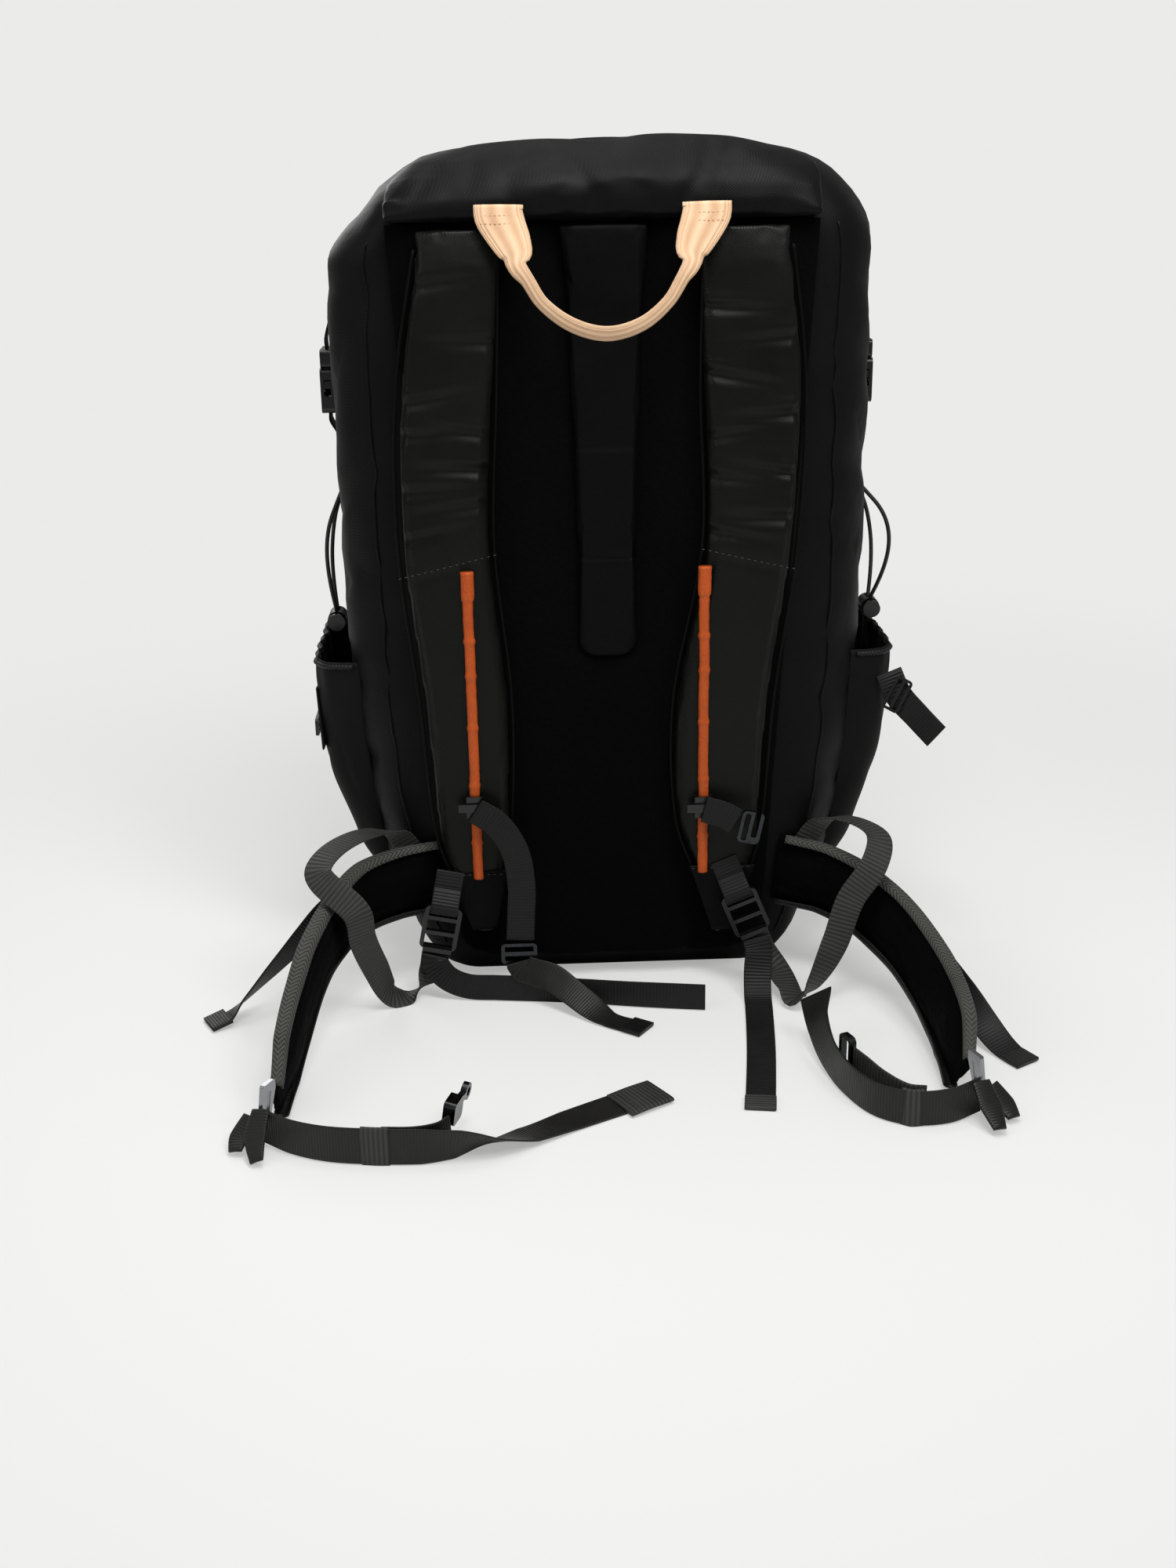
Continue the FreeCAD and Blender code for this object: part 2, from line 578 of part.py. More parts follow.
def cord_tube(label, points, diameter):
    """Make a cord of straight runs joined by arcs that touch both runs."""
    places = [Vector(*point) for point in points]
    edges, start, radii = [], places[0], []
    for before, corner, after in zip(places, places[1:], places[2:]):
        into, out = (corner - before), (after - corner)
        turn = into.getAngle(out)
        reach = 0.45 * min(into.Length, out.Length)
        radius = reach / math.tan(turn / 2)
        radii.append(round(radius, 1))
        first = corner - into.normalize() * reach
        last = corner + out.normalize() * reach
        towards = (first + last) * 0.5 - corner
        middle = corner + towards.normalize() * (math.hypot(radius, reach) - radius)
        edges += [Part.LineSegment(start, first).toShape(), Part.Arc(first, middle, last).toShape()]
        start = last
    edges.append(Part.LineSegment(start, places[-1]).toShape())
    path = Part.Wire(edges)
    ring = Part.Circle(places[0], places[1] - places[0], diameter / 2).toShape()
    tube = path.makePipeShell([Part.Wire([ring])], True, False)
    expected = math.pi * diameter ** 2 / 4 * path.Length
    print(label, "radii", radii, "length", round(path.Length, 1), "volume ratio", round(tube.Volume / expected, 4))
    return feature(label, tube)


# ---------------------------------------------------------------- shoulder harness

STRAPS = {
    "left": {"outer": ((-124, 541), (-142, 440), (-146, 335), (-136, 220), (-128, 118)),
             "inner": ((-66, 541), (-70, 440), (-75, 335), (-66, 220), (-70, 118)),
             "tip": ((-100, 40), (-86, 40)), "rail": -97},
    "right": {"outer": ((124, 541), (136, 440), (133, 330), (119, 219), (110, 110)),
              "inner": ((62, 541), (60, 440), (62, 330), (42, 219), (44, 130)),
              "tip": ((84, 34), (76, 34)), "rail": 66},
}


ROUTE_FACE = -113.7


def face_shift():
    """Give how far the straps' front face stands from where the routes on it were chosen."""
    face = -(size("back_reach") + size("pad_gap") + size("pad_thick") + size("strap_gap") + size("strap_thick"))
    return face - ROUTE_FACE


def on_face(points):
    """Move a route with the straps' front face."""
    return [(across, deep + face_shift(), up) for across, deep, up in points]


def lock_tab(name):
    """Make the webbing tab that leaves a strap's face, turns under its ladder lock's top bar and comes back up."""
    middle, turn = LOCKS[name]
    lean = math.radians(turn)
    along = Vector(math.sin(lean), 0, math.cos(lean))
    bar = size("lock_height") / 2 - size("lock_bar") / 2
    clear = size("lock_thick") / 2 + size("bar_gap") + size("web_thick") / 2
    face = -(size("back_reach") + size("pad_gap") + size("pad_thick") + size("strap_gap") + size("strap_thick"))
    layer = size("web_thick") + 0.2
    route = [(bar + 26, face - middle[1]), (bar + 2, clear), (bar - 2.4, clear), (bar - 4, clear - 1.2),
             (bar - 4, 1.2 - clear), (bar - 2.4, -clear), (bar + 2.6, -clear),
             (bar + 14, (face - middle[1] + clear) / 2 - layer)]
    points = [Vector(*middle) + along * up + Vector(0, deep, 0) for up, deep in route]
    return ribbon(points, [(math.cos(lean), 0, -math.sin(lean))] * len(points), size("narrow_web"),
                  size("web_thick"))


def make_straps():
    """Make the padded shoulder straps and the piping rails that their sternum sliders run on."""
    back = -(size("back_reach") + size("pad_gap") + size("pad_thick") + size("strap_gap"))
    drop = size("strap_top") - 541
    for name, plan in STRAPS.items():
        outer = [Vector(across, back, up + drop) for across, up in plan["outer"]]
        inner = [Vector(across, back, up + drop) for across, up in plan["inner"]]
        tip = [Vector(across, back, up + drop) for across, up in plan["tip"]]
        sides = []
        for points in (outer, inner):
            curve = Part.BSplineCurve()
            curve.interpolate(points)
            sides.append(curve.toShape())
        edges = [sides[0], Part.LineSegment(outer[-1], tip[0]).toShape(), Part.LineSegment(tip[0], tip[1]).toShape(),
                 Part.LineSegment(tip[1], inner[-1]).toShape(), sides[1],
                 Part.LineSegment(inner[0], outer[0]).toShape()]
        face = Part.Face(Part.Wire(Part.__sortEdges__(edges)))
        feature(f"shoulder_strap_{name}", face.extrude(Vector(0, -size("strap_thick"), 0)).fuse(lock_tab(name)))
        surface = "0 - back_reach - pad_gap - pad_thick - strap_gap - strap_thick"
        rail = new_body(f"strap_rail_{name}")
        sketch = sketch_on(rail, "XY_Plane", "rail_bottom")
        rail_x = plan["rail"]
        outline(sketch, [(f"{rail_x} - rail_width / 2", surface), (f"{rail_x} + rail_width / 2", surface),
                         (f"{rail_x} + rail_width / 2", f"{surface} - rail_thick * 0.55"),
                         (f"{rail_x} + rail_width / 4", f"{surface} - rail_thick"),
                         (f"{rail_x} - rail_width / 4", f"{surface} - rail_thick"),
                         (f"{rail_x} - rail_width / 2", f"{surface} - rail_thick * 0.55")])
        pad(rail, sketch, "rail_top - rail_bottom")


def make_ladder_lock(label, middle, turn):
    """Make a ladder lock: a moulded frame with a closed top slot, two bars and a gripping lip."""
    body = new_body(label)
    sketch = sketch_on(body, "XZ_Plane", "0 - lock_thick / 2")
    rounded_box_outline(sketch, "0 - lock_width / 2", "lock_width / 2", "0 - lock_height / 2", "lock_height / 2", "4")
    pad(body, sketch, "lock_thick")
    slots = (("lock_height / 2 - lock_bar - 5", "lock_height / 2 - lock_bar"),
             ("0 - 2.5", "lock_height / 2 - 2 * lock_bar - 5"),
             ("lock_bar - lock_height / 2", "0 - 2.5 - lock_bar"))
    for low, high in slots:
        window = sketch_on(body, "XZ_Plane")
        outline(window, [("lock_bar - lock_width / 2", low), ("lock_width / 2 - lock_bar", low),
                         ("lock_width / 2 - lock_bar", high), ("lock_bar - lock_width / 2", high)])
        pocket(body, window, through=True)
    lip = sketch_on(body, "YZ_Plane", "0 - lock_width / 2 + lock_bar")
    outline(lip, [("lock_thick / 2 - 0.5", "0 - lock_height / 2"), ("lock_thick / 2 - 0.5", "lock_bar - lock_height / 2"),
                  ("0 - lock_thick / 2 - 2.5", "lock_bar - lock_height / 2 - 1"),
                  ("0 - lock_thick / 2 - 2.5", "0 - lock_height / 2 - 1.5")])
    pad(body, lip, "lock_width - 2 * lock_bar")
    return place(body, middle, Y, turn)


LOCKS = {"left": ((-125.5, -122.5, 55), 12), "right": ((97, -122.5, 60), -22)}

ADJUSTERS = {
    "left": ([(-143, -86.7, 97), (-158, -89.5, 117), (-178, -110, 125), (-200, -138, 123), (-207, -158, 114),
              (-180.5, -176.5, 93), (-178, -168, 68), (-172, -150, 38), (-163, -135, 9), (-151, -126, 2.6),
              (-141, -122, 8.5), (-133.6, -120.9, 19), (-130.4, -120.8, 34)],
             [(0.97, -0.25, 0), (0.97, -0.25, 0), (0.8, -0.6, 0), (0.9, -0.4, 0), (0.9, -0.4, 0), (0.88, 0.3, 0.35),
              (0.9, 0.3, 0.3), (0.8, 0.5, 0.2), (0.4, 0.9, 0), (0.2, 1, 0), (0.5, 0.85, 0), (0.98, 0.1, -0.21),
              (0.98, 0, -0.21)]),
    "right": ([(143, -86.7, 97), (158, -89.5, 117), (176, -108, 124), (192, -126, 118), (186, -143.5, 103),
               (169, -148, 78), (158, -152, 46), (142, -159, 17), (131, -158, 6), (127, -144, 8),
               (121, -126, 15), (111, -120.4, 26.5), (104.8, -120.8, 40.6)],
              [(0.97, 0.25, 0), (0.97, 0.25, 0), (0.8, 0.6, 0), (0.8, 0.6, 0), (0.8, 0.6, 0), (0.7, 0.5, 0.5),
               (0.6, 0.5, 0.5), (0.4, 0.9, 0.2), (0.1, 1, 0), (0.4, 0.9, 0), (0.8, 0.6, 0.2), (0.93, 0.1, 0.37),
               (0.93, 0, 0.37)]),
}

TAILS = {
    "left": ([(-130.2, -125.8, 34.2), (-131, -126.2, 29), (-122, -129, 17.5), (-107, -131.5, 11.4),
              (-86, -134, 10.8), (-56, -138, 10.6), (-22, -144, 10.6), (12, -151, 10.6), (40, -156, 10.6),
              (64, -160, 10.6)],
             [(0.98, 0, -0.21), (0.95, 0, 0.1), (0.6, 0, 0.8), (0.15, 0, 1)] + [(0, 0, 1)] * 6),
    "right": ([(104.8, -126, 40.4), (106.5, -129, 32), (105, -135, 17), (104, -146, 4), (103, -160, 1.4),
               (100, -190, 1.1), (96, -225, 1.1), (91, -262, 1.1), (85, -303, 1.1)],
              [(0.93, 0, 0.37), (1, 0, 0.1), (1, -0.1, 0), (1, -0.1, 0), (1, -0.1, 0), (1, -0.1, 0), (1, -0.1, 0),
               (1, -0.15, 0), (1, -0.15, 0)]),
}


def make_adjusters():
    """Make the ladder locks, the webbing from bag to lock, the free tails and the tabs that hold the locks."""
    for name, (middle, turn) in LOCKS.items():
        make_ladder_lock(f"ladder_lock_{name}", middle, turn)
        loop = web(f"adjuster_loop_{name}", *ADJUSTERS[name], "narrow_web")
        tail = web(f"adjuster_tail_{name}", *TAILS[name], "narrow_web")
        joined(f"adjuster_web_{name}", [loop, tail])


# ---------------------------------------------------------------- sternum strap

def make_sternum_slider(label, rail_x, height):
    """Make a sternum slider: a channel that grips the rail, with a loop bar in front for webbing."""
    body = new_body(label)
    surface = "0 - back_reach - pad_gap - pad_thick - strap_gap - strap_thick"
    start = f"{height} - 8"
    sketch = sketch_on(body, "XY_Plane", start)
    clear, shell = 0.4, 2
    near, front = f"{surface} - 0.4", f"{surface} - rail_thick - {clear} - {shell}"
    inner_half, outer_half = f"rail_width / 2 + {clear}", f"rail_width / 2 + {clear} + {shell}"
    outline(sketch, [(f"{rail_x} - ( {outer_half} )", near), (f"{rail_x} - ( {inner_half} )", near),
                     (f"{rail_x} - ( {inner_half} )", f"{surface} - rail_thick - {clear}"),
                     (f"{rail_x} + ( {inner_half} )", f"{surface} - rail_thick - {clear}"),
                     (f"{rail_x} + ( {inner_half} )", near), (f"{rail_x} + ( {outer_half} )", near),
                     (f"{rail_x} + ( {outer_half} )", front), (f"{rail_x} - ( {outer_half} )", front)])
    pad(body, sketch, "16")
    bridge = sketch_on(body, "YZ_Plane", f"{rail_x} - narrow_web / 2 - 2")
    outline(bridge, [(f"{front} + 0.01", f"{height} + 3"), (f"{front} + 0.01", f"{height} - 3"),
                     (f"{front} - 2", f"{height} - 3"), (f"{front} - 2", f"{height} + 3")])
    pad(body, bridge, "narrow_web + 4")
    return body


SLIDER_HEIGHTS = {"left": 147, "right": 142}

STERNUM = {
    "left": ([(-97, -124.9, 146), (-82, -126.8, 136), (-70, -129, 116), (-66, -130, 90), (-67, -130, 64),
              (-68, -130, 46.3)],
             [(0, 0, 1), (0.5, 0, 0.8), (0.9, 0, 0.3), (1, 0, 0), (1, 0, 0), (1, 0, 0)]),
    "right": ([(66, -124.3, 142), (80, -126.6, 138), (88.6, -128.4, 133)], [(0, 0, 1), (0.2, 0, 1), (0.3, 0, 1)]),
}


def make_sternum():
    """Make both sternum sliders with their webbing, the hanging buckle with its tail and the small hook."""
    for name, plan in STRAPS.items():
        make_sternum_slider(f"sternum_slider_{name}", plan["rail"], SLIDER_HEIGHTS[name])
    web("sternum_web_right", on_face(STERNUM["right"][0]), STERNUM["right"][1], "narrow_web")
    hanging = web("sternum_fall", on_face(STERNUM["left"][0]), STERNUM["left"][1], "narrow_web")
    buckle = new_body("sternum_buckle")
    sketch = sketch_on(buckle, "XZ_Plane", "0 - 3")
    rounded_box_outline(sketch, "0 - 13", "13", "0 - 8", "8", "3")
    pad(buckle, sketch, "6")
    for low, high in (("1.6", "5.6"), ("0 - 5.6", "0 - 1.6")):
        slot = sketch_on(buckle, "XZ_Plane")
        outline(slot, [("0 - 10.4", low), ("10.4", low), ("10.4", high), ("0 - 10.4", high)])
        pocket(buckle, slot, through=True)
    slot = sketch_on(buckle, "YZ_Plane")
    circle(slot, "0", "0", "1.6")
    pocket(buckle, slot, through=True)
    place(buckle, on_face([(-69, -130, 37)])[0])
    route = [(-69, -134.4, 31.5), (-67.5, -135.6, 27.5), (-58, -138.7, 24.5), (-46, -142.5, 22),
             (-34, -150.5, 15.5), (-20, -161.5, 8), (-7, -171.5, 1.8), (7, -181.5, 1.3), (19, -190, 1.3)]
    tail = web("sternum_tail", on_face(route),
               [(1, 0, 0), (0.9, 0.1, 0.45), (0.5, 0.2, 0.85), (0.6, 0.4, 0.7), (0.7, 0.45, 0.55),
                (0.7, 0.55, 0.45), (0.64, 0.77, 0), (0.64, 0.77, 0), (0.64, 0.77, 0)], "narrow_web")
    joined("sternum_web_left", [hanging, tail])
    hook = new_body("sternum_hook")
    sketch = sketch_on(hook, "XZ_Plane", "0 - 1.5")
    rounded_box_outline(sketch, "0", "16", "0 - 12", "12", "3.5")
    pad(hook, sketch, "3")
    eye = sketch_on(hook, "XZ_Plane")
    rounded_box_outline(eye, "2.4", "6.4", "0 - 10.2", "10.2", "1.5")
    pocket(hook, eye, through=True)
    nose = sketch_on(hook, "XZ_Plane")
    rounded_box_outline(nose, "9", "13.4", "0 - 7", "13", "1.5")
    pocket(hook, nose, through=True)
    place(hook, on_face([(91, -129.5, 131)])[0], Y, 12)


# ---------------------------------------------------------------- handle

def make_handle():
    """Make the haul handle: two flat sewn ends and a bow that hangs between them."""
    points = [(-68, -110.9, 557), (-68, -114.6, 546), (-66, -119.5, 532), (-58, -128.5, 514), (-44, -132.5, 496),
              (-24, -135, 482), (0, -136, 477), (24, -135, 482), (44, -132.5, 496), (58, -128.5, 514),
              (64, -119.5, 532), (66, -114.6, 546), (66, -110.9, 557)]
    across = [(1, 0, 0), (1, 0, 0), (1, -0.1, 0), (0.8, -0.6, 0), (0.2, -1, 0), (0, -1, 0), (0, -1, 0), (0, -1, 0),
              (-0.2, -1, 0), (-0.8, -0.6, 0), (-1, -0.1, 0), (-1, 0, 0), (-1, 0, 0)]
    wide = size("handle_web")
    widths = [wide, wide, wide, wide * 0.6, wide * 0.5] + [wide * 0.55] * 3 + [wide * 0.5, wide * 0.6] + [wide] * 3
    feature("haul_handle", ribbon(on_face(points), across, widths, size("web_thick") + 0.6))


# ---------------------------------------------------------------- compression straps with side-release buckles

def make_buckle(name, side, middle):
    """Make a side-release buckle: the socket, the plug and the two prongs that are pressed to free it."""
    turn = side * 90
    socket = new_body(f"buckle_socket_{name}")
    sketch = sketch_on(socket, "XZ_Plane", "0 - buckle_thick / 2")
    rounded_box_outline(sketch, "0 - buckle_width / 2", "buckle_width / 2", "0 - buckle_height", "0", "4")
    pad(socket, sketch, "buckle_thick")
    cavity = sketch_on(socket, "XY_Plane", "0")
    outline(cavity, [("buckle_wall - buckle_width / 2", "buckle_wall - buckle_thick / 2"),
                     ("buckle_width / 2 - buckle_wall", "buckle_wall - buckle_thick / 2"),
                     ("buckle_width / 2 - buckle_wall", "buckle_thick / 2 - buckle_wall"),
                     ("buckle_wall - buckle_width / 2", "buckle_thick / 2 - buckle_wall")])
    pocket(socket, cavity, "buckle_height - 10")
    windows = sketch_on(socket, "YZ_Plane")
    outline(windows, [("0 - buckle_thick / 4", "0 - 20"), ("buckle_thick / 4", "0 - 20"),
                      ("buckle_thick / 4", "0 - 8"), ("0 - buckle_thick / 4", "0 - 8")])
    pocket(socket, windows, through=True)
    slot = sketch_on(socket, "XZ_Plane")
    outline(slot, [("0 - narrow_web / 2 - 1", "3 - buckle_height"), ("narrow_web / 2 + 1", "3 - buckle_height"),
                   ("narrow_web / 2 + 1", "6.5 - buckle_height"), ("0 - narrow_web / 2 - 1", "6.5 - buckle_height")])
    pocket(socket, slot, through=True)
    plug = new_body(f"buckle_plug_{name}")
    sketch = sketch_on(plug, "XZ_Plane", "0 - buckle_thick / 2 + 0.8")
    rounded_box_outline(sketch, "0 - buckle_width / 2", "buckle_width / 2", "0.4", "13", "3")
    pad(plug, sketch, "buckle_thick - 1.6")
    slot = sketch_on(plug, "XZ_Plane")
    outline(slot, [("0 - narrow_web / 2 - 1", "6"), ("narrow_web / 2 + 1", "6"),
                   ("narrow_web / 2 + 1", "9.5"), ("0 - narrow_web / 2 - 1", "9.5")])
    pocket(plug, slot, through=True)
    guide = sketch_on(plug, "XZ_Plane", "0 - 1.6")
    outline(guide, [("0 - 2.2", "0.5"), ("0 - 1.4", "0 - 17"), ("1.4", "0 - 17"), ("2.2", "0.5")])
    pad(plug, guide, "3.2")
    prongs = []
    for end, way in (("back", -side), ("front", side)):
        prong = new_body(f"buckle_prong_{end}_{name}")
        sketch = sketch_on(prong, "XZ_Plane", "0 - buckle_thick / 4 + prong_gap")
        root, edge = f"{way} * ( buckle_width / 2 - buckle_wall - prong_gap", "0.0"
        outline(sketch, [(f"{root} - prong_thick - 1 )", edge), (f"{root} - 1 )", edge),
                         (f"{root} - 1 )", "0 - 7"), (f"{root} + buckle_wall )", "0 - 9"),
                         (f"{root} + buckle_wall )", "0 - 14"), (f"{root} - 3 )", "0 - 18.5"),
                         (f"{root} - 3 - prong_thick )", "0 - 17.5"),
                         (f"{root} - prong_thick - 1 )", "0 - 9")])
        pad(prong, sketch, "buckle_thick / 2 - 2 * prong_gap")
        prongs.append(prong)
    for body in [socket, plug] + prongs:
        place(body, middle, Z, turn)
    return socket, plug


def make_compression():
    """Make the upper side compression straps: anchor webbing above and below each buckle."""
    sockets, plugs, webs = [], [], []
    for name, side in SIDES.items():
        reach = size("belly_half_width") + 7.5
        socket, plug = make_buckle(name, side, (side * reach, 20, 440))
        sockets.append(socket)
        plugs.append(plug)
        edge = size("belly_half_width") + 1.3
        routes = (("high", [(side * edge, 20, 500), (side * (edge + 1), 20, 480), (side * reach, 20, 461),
                            (side * reach, 20, 453.4)]),
                  ("low", [(side * reach, 20, 407.6), (side * reach, 20, 402), (side * (edge + 1), 20, 392),
                           (side * edge, 20, 382)]),
                  ("cord", [(side * edge, 3, 378), (side * edge, 3, 362), (side * (edge + 0.2), 3, 353.5)]))
        webs += [web(f"side_web_{end}_{name}", route, [(0, 1, 0)] * len(route), "narrow_web") for end, route in routes]
    joined("buckle_sockets", sockets)
    joined("buckle_plugs", plugs)
    joined("side_webbing", webs)


# ---------------------------------------------------------------- shock cords on the sides

CORDS = {
    "left": [(-198, -3, 262), (-202, -14, 290), (-201, -17, 326), (-190.2, -7, 351),
             (-190.2, 10, 351), (-199, 20, 326), (-202, 14, 290), (-198, 3, 262)],
    "right": [(203, -3, 262), (214, -14, 290), (213, -18, 327), (190.2, -8, 352),
              (190.2, 10, 352), (204, 21, 327), (208, 14, 290), (203, 3, 262)],
}


def make_cordlock(name, middle):
    """Make a cord lock: a barrel with a cross hole, and the plunger that slides in it."""
    body = new_body(f"cordlock_barrel_{name}")
    sketch = sketch_on(body, "XZ_Plane", "0 - cordlock_length / 2")
    circle(sketch, "0", "0", "cordlock_radius")
    pad(body, sketch, "cordlock_length")
    bore = sketch_on(body, "XZ_Plane", "cordlock_length / 2")
    circle(bore, "0", "0", "plunger_radius + plunger_gap")
    pocket(body, bore, "cordlock_length - 2")
    cross = sketch_on(body, "XY_Plane")
    outline(cross, [("0 - 2.2", "0 - 6.2"), ("2.2", "0 - 6.2"), ("2.2", "6.2"), ("0 - 2.2", "6.2")])
    pocket(body, cross, through=True)
    plunger = new_body(f"cordlock_plunger_{name}")
    sketch = sketch_on(plunger, "XZ_Plane", "0 - cordlock_length / 2 + 6")
    circle(sketch, "0", "0", "plunger_radius")
    pad(plunger, sketch, "cordlock_length + plunger_travel - 5.5")
    cap = sketch_on(plunger, "XZ_Plane", "cordlock_length / 2 + plunger_travel + 0.3")
    circle(cap, "0", "0", "cordlock_radius - 0.6")
    pad(plunger, cap, "2.2")
    cross = sketch_on(plunger, "XY_Plane")
    outline(cross, [("0 - 2.2", "0 - 6.2 - plunger_travel"), ("2.2", "0 - 6.2 - plunger_travel"), ("2.2", "6.2"),
                    ("0 - 2.2", "6.2")])
    pocket(plunger, cross, through=True)
    for item in (body, plunger):
        place(item, middle)
    return body


def make_shock_cords():
    """Make the elastic cord loop of each side with its lock."""
    barrels = []
    for name in SIDES:
        cord_tube(f"shock_cord_{name}", CORDS[name], size("cord_diameter"))
        end = CORDS[name][0]
        barrels.append(make_cordlock(name, (end[0], 0, 257)))
    joined("cordlock_barrels", barrels)


# ---------------------------------------------------------------- pocket straps with their glides

POCKET_STRAPS = {
    "left": ([(-211.9, -40, 216), (-211.4, -41, 206), (-210.6, -42, 188), (-209.7, -43, 170)],
             [(0, 1, 0)] * 4),
    "right": ([(207.6, -62.6, 222), (214.2, -68.2, 206), (227, -78, 192), (239, -90, 180)],
              [(0.35, 0.35, 0.87), (0.45, 0.1, 0.87), (0.5, -0.1, 0.85), (0.5, -0.1, 0.85)]),
}


def make_pocket_straps():
    """Make the strap and tri-glide at each side pocket."""
    straps, glides = [], []
    for name, (points, across) in POCKET_STRAPS.items():
        straps.append(web(f"pocket_strap_{name}", points, across, "narrow_web"))
        glide = new_body(f"pocket_glide_{name}")
        sketch = sketch_on(glide, "XZ_Plane", "0 - glide_thick / 2")
        rounded_box_outline(sketch, "0 - glide_width / 2", "glide_width / 2", "0 - glide_height / 2",
                            "glide_height / 2", "3")
        pad(glide, sketch, "glide_thick")
        for way in (-1, 1):
            slot = sketch_on(glide, "XZ_Plane")
            low, high = sorted((way * 1.2, way * 4.4))
            outline(slot, [("2 - glide_width / 2", f"{low}"), ("glide_width / 2 - 2", f"{low}"),
                           ("glide_width / 2 - 2", f"{high}"), ("2 - glide_width / 2", f"{high}")])
            pocket(glide, slot, through=True)
        glides.append(glide)
    left, right = POCKET_STRAPS["left"][0][2], POCKET_STRAPS["right"][0][1]
    place(glides[0], (left[0] - 2.5, left[1], left[2]), Z, -90)
    aim = FreeCAD.Placement(Vector(right[0] - 0.9, right[1] - 2.4, right[2] + 0.7),
                            Rotation(Vector(0.45, 0.1, 0.87), Vector(0, 0, 0), Vector(0.52, -0.42, -0.75), "XZY"))
    glides[1].Placement = aim
    joined("pocket_straps", straps)
    joined("pocket_glides", glides)


# ---------------------------------------------------------------- hip belt

WINGS = {
    "left": ([(-121, -92.6, 84), (-135, -96.6, 84), (-158, -105, 83), (-182, -123, 80), (-200, -158, 72),
              (-211, -195, 62), (-218, -230, 46), (-223, -265, 30), (-225, -298, 17)],
             [54, 54, 54, 50, 48, 50, 52, 52, 32], [8, 10, 12, 12, 12, 12, 11, 10, 8], 0.0),
    "right": ([(121, -92.6, 82), (135, -96.6, 80), (158, -104, 76), (184, -122, 66), (206, -155, 52),
               (218, -195, 40), (222, -230, 32), (221, -262, 28), (217, -292, 17)],
              [54, 54, 52, 50, 48, 48, 48, 46, 32], [8, 10, 12, 12, 12, 12, 11, 10, 8], 0.4),
}

BELT_WEBS = {
    "left": ([(-232.7, -322.1, 14), (-214, -336, 13.4), (-190, -346, 13.2), (-160, -351, 13.2), (-132, -353, 13.2),
              (-110, -351, 12.5), (-90, -342, 8), (-66, -326, 2.4), (-38, -308, 1.2), (-8, -291, 1.2), (14, -279, 1.2)],
             [(0, 0, 1)] * 5 + [(0, -0.3, 1), (0.1, -0.8, 0.6), (0.3, -1, 0.15), (0.5, -0.85, 0), (0.5, -0.85, 0),
                                (0.5, -0.85, 0)]),
    "right": ([(224.9, -315, 14), (203, -327, 13.4), (178, -328, 13.2), (158, -316, 13.2), (145, -292, 13.4),
               (137, -262, 16), (134, -232, 24), (136, -206, 34)],
              [(0, 0, 1)] * 5 + [(0.1, 0, 1), (0.4, 0, 1), (0.8, 0, 0.6)]),
}


BELT_LOOPS = {
    "left": ([(-156, -349.4, 13.5), (-136, -350.8, 13.8), (-122, -347.5, 14.2), (-114, -340, 15)], [(0, 0, 1)] * 4),
    "right": ([(187, -325.9, 15.5), (176, -323.4, 16), (164, -308, 17), (156, -291, 18), (150, -277, 18)],
              [(0, 0, 1)] * 5),
}


def make_wings():
    """Make the two padded belt wings, their metal tip plates and the belt webbing."""
    for name, side in SIDES.items():
        points, heights, thicks, lean = WINGS[name]
        across = [(side * lean * min(1, max(0, number - 1) / 2), 0, 1) for number in range(len(points))]
        feature(f"hip_wing_{name}", ribbon(points, across, heights, thicks))
        plate = new_body(f"hip_plate_{name}")
        sketch = sketch_on(plate, "XZ_Plane", "0 - plate_thick / 2")
        outline(sketch, [("0 - plate_width / 2", "0 - plate_height / 2"), ("0 - plate_width / 8", "0 - plate_height / 2"),
                         ("plate_width / 2", "plate_height / 3"), ("plate_width / 2", "plate_height / 2"),
                         ("0 - plate_width / 8", "plate_height / 2")])
        pad(plate, sketch, "plate_thick")
        fillet(plate, Y, "1.5")
        slot = sketch_on(plate, "XZ_Plane")
        outline(slot, [("0 - plate_width / 4", "5 - plate_height / 2"), ("0 - plate_width / 16", "5 - plate_height / 2"),
                       ("plate_width / 4", "plate_height / 3"), ("plate_width / 16", "plate_height / 3")])
        pocket(plate, slot, through=True)
        belt = web(f"belt_run_{name}", *BELT_WEBS[name], "belt_web")
        loop = web(f"belt_loop_{name}", *BELT_LOOPS[name], "belt_web")
        joined(f"belt_web_{name}", [belt, loop])
    place(doc.getObjectsByLabel("hip_plate_left")[0], (-231.3, -313.8, 20), Z, 62)
    place(doc.getObjectsByLabel("hip_plate_right")[0], (224.9, -307.8, 20), Z, 112)


